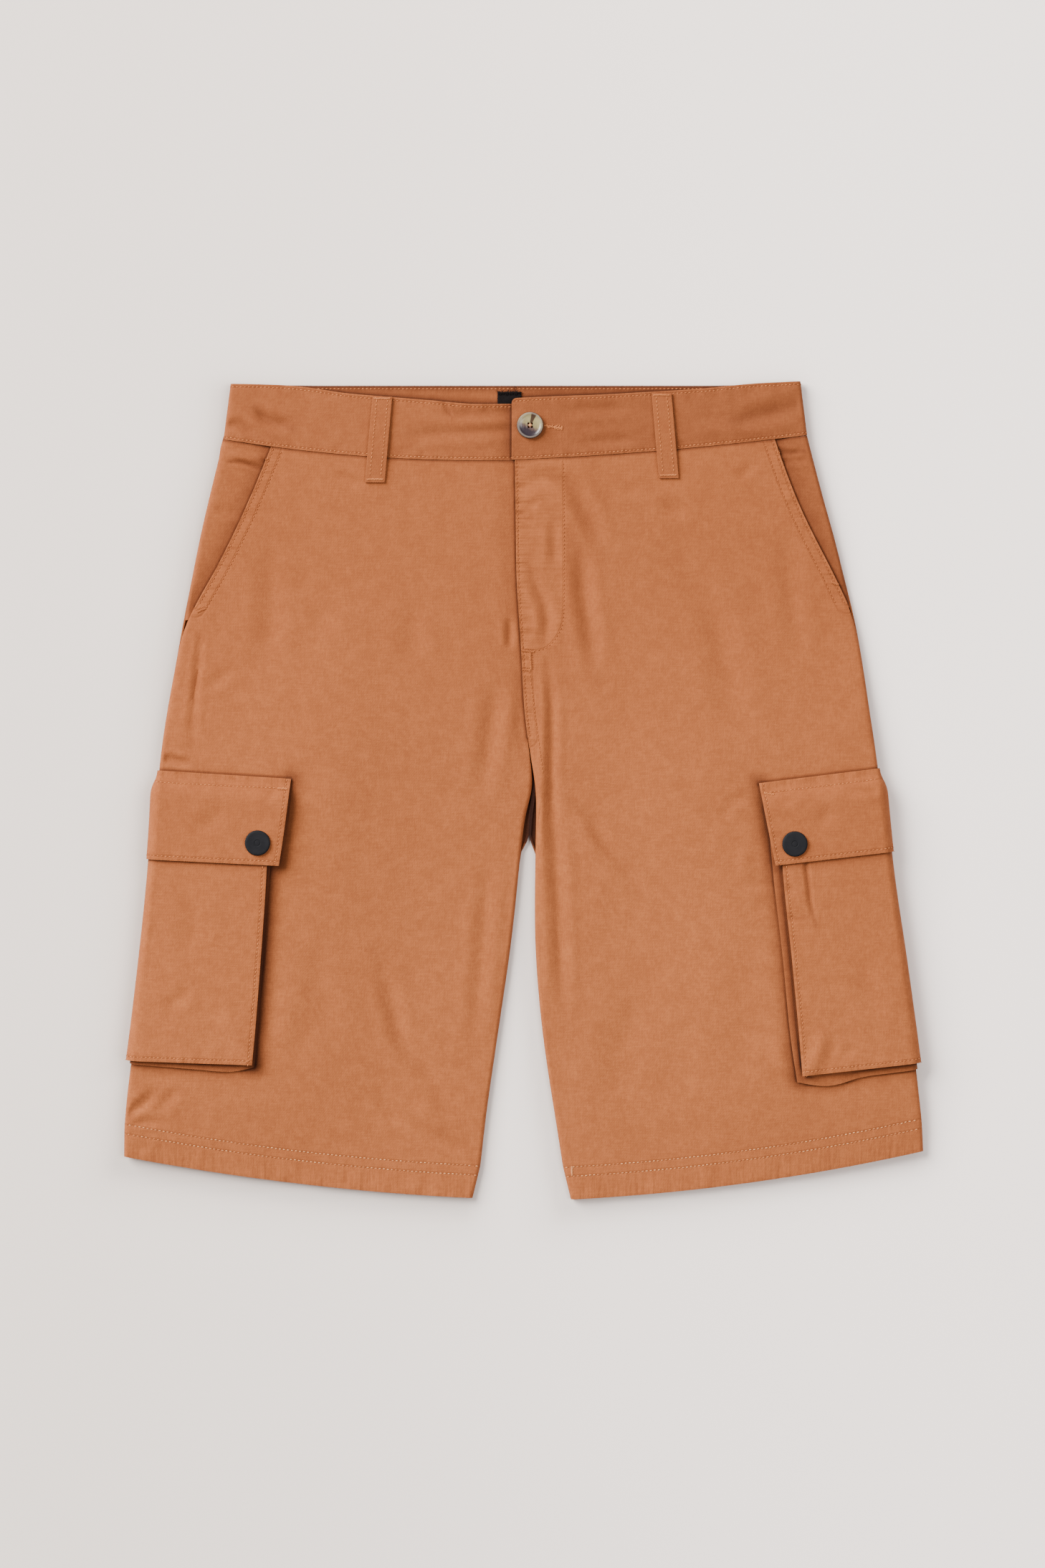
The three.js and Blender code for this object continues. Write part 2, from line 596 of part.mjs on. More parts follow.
function beltLoop({ face, topX, topY, endX, endY }) {
  const slack = face > 0 ? 0.9 : 0; // how far a loop stands off at its middle
  const grid = (out) =>
    range(0, 1, 8).map((share) => {
      const middleX = THREE.MathUtils.lerp(topX, endX, share);
      const y = THREE.MathUtils.lerp(topY, endY, share);
      const off = gap + slack * Math.sin(Math.PI * share) + out;
      return range(middleX - loopWidth / 2, middleX + loopWidth / 2, 2).map(
        (x) => new THREE.Vector3(x, y, surfaceHeight(x, y, face, 1) + face * off),
      );
    });
  return wall(grid(loopCloth), grid(0));
}

// Cargo pockets

const wrapColumns = 6; // columns of a wrapped piece between the side fold and its edge
const edgeColumn = foldSteps.length - 1 + wrapColumns;
const allColumns = range(-edgeColumn, edgeColumn, 2 * edgeColumn);

// How far in from the side fold a column lies. Columns with a minus are on the back.
function columnDistance(column, width) {
  const n = Math.abs(column);
  const foldEnd = foldSteps.length - 1;
  if (n <= foldEnd) return Math.sign(column) * foldSteps[n];
  return Math.sign(column) * THREE.MathUtils.lerp(foldSteps[foldEnd], width, (n - foldEnd) / wrapColumns);
}

// A point over a flap or pouch, at a share of the way down it. inward and upward move it in mm.
function offPocket(side, shape, { share, column, out, inward = 0, upward = 0 }) {
  const width = THREE.MathUtils.lerp(shape.top.width, shape.bottom.width, share);
  const fromSide = columnDistance(column, width) - Math.sign(column) * inward;
  const top = shape.top.y + shape.top.slope * Math.abs(fromSide);
  const bottom = shape.bottom.y + shape.bottom.slope * Math.abs(fromSide);
  const y = THREE.MathUtils.lerp(top, bottom, share) + upward;
  return offLeg(side, sectionAt(side, y, fromSide), fromSide, out);
}

function cargoFlap(side) {
  const { flap: shape, pouch } = cargoPockets[side];
  const height = shape.top.y - shape.bottom.y;
  const overPouch = shape.top.y - pouch.top.y - 2; // how far down the flap lies over the pouch
  const shares = [0, 5, flapSeamDepth, overPouch, 24, 44].map((down) => down / height).concat(1);
  const rise = (share) => gap + (flapOffset - gap) * smoothStep(3, overPouch, share * height);
  const grid = (outer) =>
    shares.map((share) =>
      allColumns.map((column) => offPocket(side, shape, { share, column, out: rise(share) + outer })),
    );
  return wall(grid(cloth), grid(0));
}

function cargoPouch(side) {
  const shape = cargoPockets[side].pouch;
  const grid = (out) =>
    range(0, 1, 8).map((share) => allColumns.map((column) => offPocket(side, shape, { share, column, out })));
  return wall(grid(pouchOffset + cloth), grid(pouchOffset));
}

// The bellows: a strip folded in on itself under three edges of the pouch. Its route runs down the front
// edge (place 0 to 1), along the bottom round the side fold (1 to 2), and up the back edge (2 to 3).
function cargoBellows(side) {
  const shape = cargoPockets[side].pouch;
  const low = gap;
  const high = low + 2 * pleatCloth + pleatGap;
  const outline = [
    { inward: -1, out: low },
    { inward: pleatDepth + pleatCloth, out: low },
    { inward: pleatDepth + pleatCloth, out: high },
    { inward: pleatHem, out: high },
    { inward: pleatHem, out: high - pleatCloth },
    { inward: pleatDepth, out: high - pleatCloth },
    { inward: pleatDepth, out: low + pleatCloth },
    { inward: -1, out: low + pleatCloth },
  ].map(({ inward, out }) => new THREE.Vector2(inward, out));
  const upTheEdge = range(0.03, 1, 7);
  const route = [
    ...upTheEdge.map((share) => ({ share, column: edgeColumn, place: share })),
    ...allColumns.slice(1, -1).map((c) => ({ share: 1, column: -c, place: 1.5 + c / (2 * edgeColumn) })),
    ...upTheEdge.reverse().map((share) => ({ share, column: -edgeColumn, place: 3 - share })),
  ];
  const sections = route.map(({ share, column, place }) => {
    const reach = lookUp(cargoPockets[side].bellows, "place", place, "reach");
    return outline.map((corner) => {
      const shift = corner.x < 0 ? -reach : corner.x;
      const inward = Math.abs(column) === edgeColumn ? shift : 0;
      const upward = share === 1 ? shift : 0;
      return offPocket(side, shape, { share, column, out: corner.y, inward, upward });
    });
  });
  return sweep(outline, sections);
}

// Hard pieces

function asManifold(geometry) {
  const positions = geometry.getAttribute("position");
  const places = new Map();
  const vertProperties = [];
  const renumber = [];
  for (let i = 0; i < positions.count; i++) {
    const point = [positions.getX(i), positions.getY(i), positions.getZ(i)];
    const key = point.map((v) => Math.round(v * 1e4) + 0).join();
    if (!places.has(key)) {
      places.set(key, places.size);
      vertProperties.push(...point);
    }
    renumber.push(places.get(key));
  }
  const index = geometry.index ? [...geometry.index.array] : renumber.map((_, i) => i);
  const triVerts = [];
  for (let i = 0; i < index.length; i += 3) {
    const corners = [0, 1, 2].map((k) => renumber[index[i + k]]);
    if (new Set(corners).size === 3) triVerts.push(...corners);
  }
  const mesh = new wasm.Mesh({
    numProp: 3,
    vertProperties: new Float32Array(vertProperties),
    triVerts: new Uint32Array(triVerts),
  });
  return new wasm.Manifold(mesh);
}

function asGeometry(solid) {
  const mesh = solid.getMesh();
  const positions = [];
  for (let i = 0; i < mesh.numVert; i++) {
    positions.push(...mesh.vertProperties.slice(i * mesh.numProp, i * mesh.numProp + 3));
  }
  return orientOut(positions, [...mesh.triVerts]);
}

// A piece turned round +Z. Its profile gives shares of its radius and height, from its underside outwards.
function turned(profile, radius, height, segments) {
  const points = profile.map(({ r, h }) => new THREE.Vector2(r * radius, h * height));
  return asManifold(new THREE.LatheGeometry(points, segments).rotateX(Math.PI / 2));
}

function waistButton() {
  const profile = [
    { r: 0, h: 0 },
    { r: 0.62, h: 0 },
    { r: 0.9, h: 0.28 },
    { r: 1, h: 0.55 },
    { r: 0.985, h: 0.8 },
    { r: 0.93, h: 0.97 },
    { r: 0.86, h: 1 },
    { r: 0.79, h: 0.93 },
    { r: 0.7, h: 0.72 },
    { r: 0.4, h: 0.56 },
    { r: 0, h: 0.5 },
  ];
  let button = turned(profile, buttonRadius, buttonHeight, 28);
  for (const x of [-buttonHoleSpacing / 2, buttonHoleSpacing / 2]) {
    for (const y of [-buttonHoleSpacing / 2, buttonHoleSpacing / 2]) {
      const hole = new THREE.CylinderGeometry(buttonHoleRadius, buttonHoleRadius, 3 * buttonHeight, 12);
      button = button.subtract(asManifold(hole.rotateX(Math.PI / 2).translate(x, y, 0)));
    }
  }
  return asGeometry(button);
}

function snapCap() {
  const profile = [
    { r: 0, h: 0 },
    { r: 0.9, h: 0 },
    { r: 1, h: 0.3 },
    { r: 1, h: 0.6 },
    { r: 0.95, h: 0.88 },
    { r: 0.86, h: 1 },
    { r: 0, h: 1 },
  ];
  return asGeometry(turned(profile, snapRadius, snapHeight, 24));
}

// Turns a piece that stands round +Z to a surface and sets it down there
function seat(mesh, point, normal) {
  mesh.quaternion.setFromUnitVectors(new THREE.Vector3(0, 0, 1), normal);
  mesh.position.copy(point);
  return mesh;
}

function seatSnap(side) {
  const { x, y } = cargoPockets[side].snap;
  const sideX = lookUp(legRows[side], "sideY", y, "sideX");
  const fromSide = clothDistance(Math.abs(x - sideX), loft(sideX, y) / 2);
  const t = sectionAt(side, y, fromSide);
  const snap = named(`cargo_snap_${side}`, snapCap(), finishes.snap);
  return seat(snap, offLeg(side, t, fromSide, flapStack + gap), ringNormal(side, t, 1, fromSide));
}

// A plain woven label in the back of the waistband, on its inner face
function wovenLabel() {
  const grid = (out) =>
    range(label.top, label.bottom, 2).map((y) =>
      range(label.left, label.right, 4).map(
        (x) => new THREE.Vector3(x, y, surfaceHeight(x, y, -1, 1) + bandCloth + gap + out),
      ),
    );
  return wall(grid(label.thickness), grid(0));
}

// Finishes

const finish = (color, roughness) => new THREE.MeshStandardMaterial({ color, roughness, metalness: 0 });
const finishes = {
  twill: finish(0xc47f56, 0.88),
  band: finish(0xb4704a, 0.88),
  button: finish(0x8a735a, 0.3),
  snap: finish(0x2b2b2e, 0.5),
  label: finish(0x171414, 0.8),
};

function named(name, geometry, material) {
  const mesh = new THREE.Mesh(geometry, material);
  mesh.name = name;
  return mesh;
}

// The garment

const shorts = new THREE.Group();
shorts.name = "cargo_shorts";
shorts.add(named("front_right", frontRight(), finishes.twill));
shorts.add(named("front_left", frontLeft(), finishes.twill));
for (const side of ["right", "left"]) {
  shorts.add(named(`back_${side}`, back(side), finishes.twill));
  shorts.add(named(`hip_facing_${side}`, hipFacing(side), finishes.twill));
  shorts.add(named(`waistband_${side}`, waistband(side), finishes.band));
  shorts.add(named(`cargo_pouch_${side}`, cargoPouch(side), finishes.twill));
  shorts.add(named(`cargo_bellows_${side}`, cargoBellows(side), finishes.twill));
  shorts.add(named(`cargo_flap_${side}`, cargoFlap(side), finishes.twill));
  shorts.add(seatSnap(side));
}
for (const loop of beltLoops) {
  shorts.add(named(loop.name, beltLoop(loop), finishes.band));
}
shorts.add(named("back_label", wovenLabel(), finishes.label));

const { x: buttonX, y: buttonY } = buttonPlace;
const underButton = new THREE.Vector3(buttonX, buttonY, surfaceHeight(buttonX, buttonY, 1, 1) + gap);
const up = new THREE.Vector3(0, 0, 1);
shorts.add(seat(named("waist_button", waistButton(), finishes.button), underButton, up));

// The origin is the middle of the outline, on the surface that the shorts lie on
const size = new THREE.Box3().setFromObject(shorts, true);
const middle = size.getCenter(new THREE.Vector3());
shorts.position.set(-middle.x, -middle.y, -size.min.z);

export default shorts;
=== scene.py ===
import math

import bmesh
import bpy
import numpy as np
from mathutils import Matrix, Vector, noise
from mathutils.bvhtree import BVHTree


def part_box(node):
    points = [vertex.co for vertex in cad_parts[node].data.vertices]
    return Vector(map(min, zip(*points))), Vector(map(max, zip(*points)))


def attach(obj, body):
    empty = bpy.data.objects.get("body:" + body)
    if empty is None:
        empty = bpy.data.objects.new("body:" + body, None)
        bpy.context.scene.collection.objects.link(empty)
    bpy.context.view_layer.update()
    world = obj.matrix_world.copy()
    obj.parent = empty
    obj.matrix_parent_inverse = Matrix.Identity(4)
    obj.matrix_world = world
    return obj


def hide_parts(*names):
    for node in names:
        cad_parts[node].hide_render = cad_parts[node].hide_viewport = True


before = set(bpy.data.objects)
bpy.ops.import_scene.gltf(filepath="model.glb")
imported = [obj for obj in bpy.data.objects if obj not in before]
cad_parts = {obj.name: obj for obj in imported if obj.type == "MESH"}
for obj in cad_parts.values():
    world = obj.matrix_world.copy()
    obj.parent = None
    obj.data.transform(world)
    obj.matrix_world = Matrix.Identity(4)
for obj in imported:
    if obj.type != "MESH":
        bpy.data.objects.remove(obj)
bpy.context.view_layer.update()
mm = 0.001
floorGap = 0.02  # how far above the floor the lowest cloth and thread lie
random = np.random.default_rng(7)


# Small helpers

def choose(piece):
    bpy.ops.object.select_all(action="DESELECT")
    piece.select_set(True)
    bpy.context.view_layer.objects.active = piece


def applyModifier(piece, kind, **settings):
    choose(piece)
    modifier = piece.modifiers.new(kind, kind)
    for key, value in settings.items():
        setattr(modifier, key, value)
    bpy.ops.object.modifier_apply(modifier=modifier.name)


def readPoints(piece):  # in millimetres
    points = np.zeros(len(piece.data.vertices) * 3, np.float32)
    piece.data.vertices.foreach_get("co", points)
    return points.reshape(-1, 3).astype(float) / mm


def writePoints(piece, points):
    piece.data.vertices.foreach_set("co", (points * mm).astype(np.float32).ravel())
    piece.data.update()


def writeField(piece, name, values):  # one number for each point, for its material
    layer = piece.data.attributes.new(name, "FLOAT", "POINT")
    layer.data.foreach_set("value", values.astype(np.float32))


def smoothStep(start, end, value):
    share = np.clip((value - start) / (end - start), 0, 1)
    return share * share * (3 - 2 * share)


def smoothPath(points, steps=6):  # a soft curve through a few points
    knots = np.array(points, float)
    knots = np.vstack([2 * knots[0] - knots[1], knots, 2 * knots[-1] - knots[-2]])
    curve = []
    for a, b, c, d in zip(knots, knots[1:], knots[2:], knots[3:]):
        for t in np.arange(steps) / steps:
            curve.append(0.5 * (2 * b + (c - a) * t + (2 * a - 5 * b + 4 * c - d) * t**2
                                + (3 * b - a - 3 * c + d) * t**3))
    return np.array(curve + [knots[-2]])


def nearestOnPath(points, path):  # how far each point is, and how far along the path its nearest place lies
    best = np.full(len(points), 1e9)
    along = np.zeros(len(points))
    start = 0.0
    for a, b in zip(path, path[1:]):
        step = b - a
        long = math.sqrt(step @ step)
        if long < 1e-6:
            continue
        t = np.clip((points - a) @ step / long**2, 0, 1)
        far = np.linalg.norm(points - a - t[:, None] * step, axis=1)
        nearer = far < best
        best[nearer] = far[nearer]
        along[nearer] = start + t[nearer] * long
        start += long
    return best, along, start


def wavy(points, size, seed):  # seeded soft noise from -1 to 1, with a wave of that size
    places = points / size + seed * 17.3
    return np.array([noise.noise(Vector(p)) for p in places]) * 1.6


# Where the legs end at each height, so that a fold is left as it is

outline = {
    "y": [-300, -240, -187, -112, -18, 10, 58, 120, 182, 252, 300],
    "rightSide": [-288, -287, -280.8, -271.8, -263.4, -262.3, -256.2, -245.4, -233, -216, -210],
    "rightInner": [-38, -26.8, -20, -9, 0.8, 6, 60, 60, 60, 60, 60],
    "leftSide": [288, 286.5, 280.6, 270.2, 257.8, 255.4, 248.7, 239.2, 223.8, 204, 198],
    "leftInner": [35, 23, 15.2, 8, 9.1, 8, -60, -60, -60, -60, -60],
}


def insideFolds(points, reach=5.0):
    x, y = points[:, 0], points[:, 1]
    right = x < np.where(y < 5, np.interp(y, outline["y"], outline["rightInner"]) + 10, 0)
    side = np.where(right, np.interp(y, outline["y"], outline["rightSide"]),
                    np.interp(y, outline["y"], outline["leftSide"]))
    inner = np.where(right, np.interp(y, outline["y"], outline["rightInner"]),
                     np.interp(y, outline["y"], outline["leftInner"]))
    return smoothStep(0.5, reach, np.abs(x - side)) * smoothStep(0.5, reach, np.abs(x - inner))


# Creases, placed from what the cloth shows. A negative depth is a trough and a positive one a
# ridge, width is half the width of its middle, ends says how much of it is left at each end, and dark
# how deep the shade in its core is.

def fold(width, depth, *path, ends=(0, 0), dark=0):
    return {"path": path, "width": width, "depth": depth, "ends": ends, "dark": dark}


creases = {
    "front": [
        fold(5.8, -1.3, (36, 181), (41, 160), (44.5, 133), (48.5, 107), (53, 80), dark=0.15),
        fold(6.0, -1.15, (16, 227), (35, 217), (46, 197), (60, 168), dark=0.13),
        fold(3.8, -0.6, (21, 198), (22, 180), (23, 158), dark=0.1),
        fold(5, -0.45, (-1, 219), (14, 224), (28, 222), ends=(0.7, 0.3)),
        fold(4.2, -0.85, (1.5, 164), (8, 150), (16, 131), (16.5, 112), (12, 99), dark=0.12),
        fold(2.6, -0.4, (-3, 206), (4, 204), (12, 207), ends=(0.8, 0)),
        fold(2.2, -0.3, (-2, 196), (5, 194), (9, 197), ends=(0.8, 0)),
        fold(3.4, -0.7, (18, 92), (20.5, 58), (20.5, 20), (20, -20), ends=(0.3, 0.4)),
        fold(5, -0.9, (20, 0), (23, -42), (25.5, -98), (28, -172), ends=(0.4, 0), dark=0.09),
        fold(3, -0.8, (-10.5, 126), (-9.5, 100)),
        fold(6.5, -0.8, (-18, 84), (-22, 55), (-27, 18), (-31, -8)),
        fold(5.5, -0.6, (-24, -40), (-29, -98), (-33, -150), (-38, -190)),
        fold(8, -0.55, (-185.5, 184), (-182, 128), (-186.5, 84)),
        fold(8, -0.4, (-146, 134), (-143.5, 108)),
        fold(8, -0.5, (-79, 140), (-80, 112), (-82, 86)),
        fold(2.8, -0.6, (-137, 228), (-127, 224), (-117, 220.5), ends=(0, 0.6)),
        fold(2.4, -0.5, (-225.5, 127), (-219, 120), (-216, 110)),
        fold(4, -0.4, (-230, 72), (-220, 79), (-209, 88)),
        fold(2.2, -0.85, (-232.5, 110), (-235, 82), (-238, 52), (-239, 30), ends=(0.6, 0.2), dark=0.16),
        fold(3, -0.95, (-262, 24), (-250, 21.5), (-237, 18.5), ends=(0.7, 0), dark=0.16),
        fold(4, -0.35, (-248, 34), (-236, 28), (-224, 27)),
        fold(5.2, -1.05, (-109, -112), (-96.5, -150), (-88, -181), (-70.5, -204), (-57, -221), (-44, -240),
             dark=0.1),
        fold(6, 0.7, (-78, -222), (-66, -236), (-54, -247)),
        fold(5, -0.5, (-106, -216), (-97, -229), (-87, -242)),
        fold(4, -0.45, (-68, -247), (-54, -254), (-40, -261)),
        fold(9, -0.6, (-156, -108), (-140, -162), (-130, -184)),
        fold(3.2, -1.0, (-284, -232), (-273, -224), (-263, -215), ends=(0.7, 0), dark=0.12),
        fold(3.4, -0.6, (-263, -230), (-254, -221), (-246, -213), ends=(0, 0.3)),
        fold(2.6, -0.35, (-282, -238), (-270, -238.5), (-257, -238), ends=(0.6, 0)),
        fold(9, 0.6, (-176, -140), (-170, -165), (-176, -190)),
        fold(10, -0.7, (98, 173), (134, 131), (144, 96), (156, 32)),
        fold(7, -0.5, (188, 196), (194, 130), (201, 84)),
        fold(5.5, -0.55, (105, 203), (112, 202), ends=(0.9, 0.9)),
        fold(4, -0.35, (70, 219), (82, 214)),
        fold(3.4, -0.4, (150, 222), (168, 235)),
        fold(4.6, -0.95, (28, -4), (48, -20), (60, -40), (77, -62), (91, -86), dark=0.1),
        fold(5.5, 0.5, (34, -18), (46, -36), (56, -52)),
        fold(4, -0.4, (143, -8), (160, -6)),
        fold(4, -0.35, (140, -18), (150, -15)),
        fold(3.2, -0.55, (158, -65), (170, -66), (181, -66), ends=(0, 0.8), dark=0.12),
        fold(3.6, -0.4, (160, -84), (182, -86), ends=(0, 0.8)),
        fold(5, 0.5, (156, -42), (160, -55), (166, -60)),
        fold(5.5, 0.7, (180, -178), (186, -194), (198, -208)),
        fold(13, -0.5, (88, -140), (70, -190), (76, -236)),
        fold(14, -0.45, (150, -110), (160, -160), (150, -222)),
    ],
    "back": [
        fold(6, 0.8, (30, 190), (58, 150), (66, 104)),
        fold(6.5, 0.9, (-34, 184), (-62, 148), (-74, 96)),
        fold(7, 1.0, (-16, 84), (-30, 40), (-33, -6)),
        fold(6, 0.9, (20, 88), (34, 44), (38, -12)),
        fold(6, 0.8, (-96, 40), (-60, 14), (-40, -26)),
        fold(7, 0.7, (104, 30), (66, 4), (46, -40)),
        fold(9, 0.6, (-190, 170), (-168, 120), (-176, 70)),
        fold(8, 0.6, (180, 160), (160, 118), (170, 66)),
        fold(6, 0.8, (-120, -120), (-96, -170), (-60, -214)),
        fold(7, 0.7, (60, -120), (84, -168), (120, -226)),
        fold(9, 0.5, (-170, -60), (-140, -100), (-132, -150)),
        fold(10, 0.5, (160, -40), (136, -96), (140, -150)),
    ],
    "facing": [
        fold(1.7, -0.5, (-212, 236.6), (-201, 235.2), (-186.6, 230.6), ends=(0, 1), dark=0.5),
        fold(2.6, 0.45, (-214, 243), (-203, 240), (-190, 238), ends=(0, 1)),
        fold(4, -0.3, (-222, 205), (-212, 200), (-203, 204)),
        fold(2.0, -0.6, (181, 245), (190, 242.4), (202, 244), ends=(1, 0), dark=0.45),
        fold(2.6, -0.35, (186, 236), (195, 238), (206, 236), ends=(1, 0)),
    ],
    "band": [
        fold(4.2, -1.1, (-194, 275), (-184, 266.5), (-166, 260), dark=0.26),
        fold(3.4, -0.7, (-214, 264), (-204, 262), (-192, 254), ends=(0.8, 0), dark=0.16),
        fold(5.4, -0.65, (-56, 272), (-38, 270.5), (-10, 272), ends=(0.2, 0.9), dark=0.22),
        fold(3.6, 0.25, (-52, 266), (-34, 264.6), (-10, 265), ends=(0.2, 0.9)),
        fold(4.6, -0.55, (-90, 256), (-58, 257), (-38, 258), (-12, 260.5), ends=(0, 0.9), dark=0.14),
        fold(1.8, -0.5, (-57, 279), (-52, 268), ends=(0.9, 0), dark=0.24),
        fold(6, -0.75, (150, 265), (172, 270), (196, 277), ends=(0, 0.6), dark=0.26),
        fold(5, 0.4, (120, 259), (150, 259), (178, 260)),
        fold(4, -0.4, (22, 272), (50, 274), (86, 274.5)),
        fold(3.6, -0.35, (34, 250), (60, 251), (86, 252.5)),
    ],
    "pocket": [
        fold(1.6, -0.6, (201.9, -50), (203.6, -64), (205.4, -80), (209.6, -97), ends=(1, 0), dark=0.5),
        fold(5, 0.3, (194, -56), (198, -72), (199, -90), ends=(1, 0)),
        fold(1.8, -0.45, (188, -72), (196, -71), ends=(1, 0), dark=0.2),
        fold(2.2, -0.5, (189, -93), (202, -91), ends=(1, 0), dark=0.2),
        fold(3.4, -0.4, (228, -188), (238, -187)),
        fold(5, 0.6, (206, -198), (212, -186), (214, -170), ends=(1, 0)),
        fold(7, -0.4, (240, -120), (250, -150), (262, -168)),
        fold(5, -0.4, (-257, -158), (-248, -150), (-238, -141)),
        fold(7, 0.7, (-198, -192), (-206, -178), (-222, -160), ends=(1, 0)),
        fold(8, -0.35, (-250, -70), (-238, -92), (-240, -120)),
    ],
    "flap": [
        fold(3, -0.4, (176, -2), (186, -8), (194, -9), ends=(0.8, 0)),
        fold(3, -0.4, (230, 0), (246, -1), (257, 0), ends=(0, 0.5)),
        fold(5, -0.3, (206, -26), (216, -20), (224, -12)),
        fold(3, -0.3, (-176, -2), (-184, -4)),
        fold(6, -0.35, (-214, -10), (-224, -22), (-240, -30)),
    ],
}
waves = {"long": 62, "longHeight": 0.5, "short": 21, "shortHeight": 0.17, "creases": 2.1}


def creaseHeight(points, crease, flank=0.34):
    path = smoothPath(crease["path"])
    far, along, total = nearestOnPath(points[:, :2], path)
    atStart, atEnd = crease["ends"]
    share = along / total
    taper = atStart + (1 - atStart) * smoothStep(0, 0.34, share)
    taper = taper * (atEnd + (1 - atEnd) * smoothStep(1, 0.66, share))
    beyond = far / crease["width"]
    middle = np.exp(-1.4 * beyond**2)
    shoulder = flank * np.exp(-2.2 * (beyond - 1.9) ** 2)
    return waves["creases"] * crease["depth"] * taper * (middle - shoulder)


def fieldHeight(points, tables):
    height = np.zeros(len(points))
    for table in tables:
        for crease in creases[table]:
            xs, ys = zip(*crease["path"])
            margin = 4 * crease["width"]
            near = ((points[:, 0] > min(xs) - margin) & (points[:, 0] < max(xs) + margin)
                    & (points[:, 1] > min(ys) - margin) & (points[:, 1] < max(ys) + margin))
            height[near] += creaseHeight(points[near], crease)
    return height


def waveHeight(points):
    flat = points * np.array([1, 0.7, 0])
    return (waves["longHeight"] * wavy(flat, waves["long"], 1)
            + waves["shortHeight"] * wavy(flat, waves["short"], 2))


# Cloth pieces

weld = 0.00001
rimAngle = math.radians(56)
hemRoll = {"width": 0.00042, "segments": 2}  # how round a folded edge is


def clothFrom(node, levels):  # a fine copy of a solid's own walls, with its rims kept
    piece = bpy.data.objects.new(node + "_cloth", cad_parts[node].data.copy())
    bpy.context.collection.objects.link(piece)
    piece.data.materials.clear()
    choose(piece)
    bpy.ops.mesh.customdata_custom_splitnormals_clear()
    bpy.ops.object.mode_set(mode="EDIT")
    bpy.ops.mesh.select_mode(type="EDGE")
    bpy.ops.mesh.select_all(action="SELECT")
    bpy.ops.mesh.remove_doubles(threshold=weld)
    bpy.ops.mesh.tris_convert_to_quads(face_threshold=math.radians(50), shape_threshold=math.radians(70))
    bpy.ops.mesh.select_all(action="DESELECT")
    bpy.ops.mesh.edges_select_sharp(sharpness=rimAngle)
    bpy.ops.transform.edge_crease(value=1)
    bpy.ops.object.mode_set(mode="OBJECT")
    applyModifier(piece, "SUBSURF", levels=levels, render_levels=levels)
    return piece


def legSide(x):
    return np.where(x < 0, -150.0, 150.0)


def rimEdges(piece, middleZ):  # the edges between an outer skin and a rim, with both their normals
    mesh = bmesh.new()
    mesh.from_mesh(piece.data)
    found = []
    for edge in mesh.edges:
        if len(edge.link_faces) != 2 or edge.calc_face_angle() < rimAngle:
            continue
        a, b = edge.link_faces
        place = (edge.verts[0].co + edge.verts[1].co) / 2 / mm
        outward = Vector((0.6 * math.copysign(1, place.x - legSide(place.x)), 0,
                          math.copysign(1, place.z - middleZ)))
        for rim, skin in ((a, b), (b, a)):
            found.append({"ends": (edge.verts[0].index, edge.verts[1].index), "place": place,
                          "rim": rim.normal.copy(), "skin": skin.normal.copy(),
                          "outer": skin.normal.dot(outward) > 0})
    places = [v.co / mm for v in mesh.verts]
    mesh.free()
    return found, places


def chains(rims, facing, keep=lambda p: True, outer=True):  # runs of rim edges that face one way
    found, places = rims
    way = Vector(facing).normalized()
    joined, normals = {}, {}
    for edge in found:
        if edge["outer"] != outer or edge["rim"].dot(way) < 0.8 or abs(edge["skin"].dot(way)) > 0.6:
            continue
        if not keep(edge["place"]):
            continue
        a, b = edge["ends"]
        joined.setdefault(a, set()).add(b)
        joined.setdefault(b, set()).add(a)
        for end in (a, b):
            normals[end] = normals.get(end, Vector((0, 0, 0))) + edge["skin"]
    runs, seen = [], set()
    for start in sorted(joined, key=lambda v: (len(joined[v]), v)):
        if start in seen:
            continue
        run, here = [start], start
        seen.add(start)
        while True:
            ahead = [v for v in sorted(joined[here]) if v not in seen]
            if not ahead:
                break
            here = ahead[0]
            seen.add(here)
            run.append(here)
        if len(run) > 8:
            runs.append(run)
    return [{"line": np.array([places[v] for v in run]), "up": np.array([normals[v].normalized() for v in run]),
             "facing": np.array(way)} for run in sorted(runs, key=len, reverse=True)]


def finishCloth(piece, material):
    applyModifier(piece, "BEVEL", limit_method="ANGLE", angle_limit=rimAngle, **hemRoll)
    choose(piece)
    bpy.ops.object.shade_smooth()
    piece.data.materials.append(material)


def setField(piece, name, found, reach=40.0):  # how far each point lies from some lines of the piece
    points = readPoints(piece)
    values = np.full(len(points), 100.0)
    for chain in found:
        line = chain["line"][:: max(1, len(chain["line"]) // 160)]
        line = np.vstack([line, chain["line"][-1]])
        low, high = line.min(0) - reach, line.max(0) + reach
        near = ((points > low) & (points < high)).all(1)
        values[near] = np.minimum(values[near], nearestOnPath(points[near], line)[0])
    writeField(piece, name, values)


def planLine(chain):
    line = chain["line"]
    return np.vstack([line[:: max(1, len(line) // 160)], line[-1:]])[:, :2]


def planDistance(points, line, reach):
    values = np.full(len(points), 100.0)
    near = ((points > line.min(0) - reach) & (points < line.max(0) + reach)).all(1)
    values[near] = nearestOnPath(points[near], line)[0]
    return values


def foldShade(tables):  # painted shade in the cores of the sharpest folds
    return [({"line": smoothPath(crease["path"]), "soft": True}, crease["width"] * 0.7, crease["dark"])
            for table in tables for crease in creases[table] if crease["dark"]]


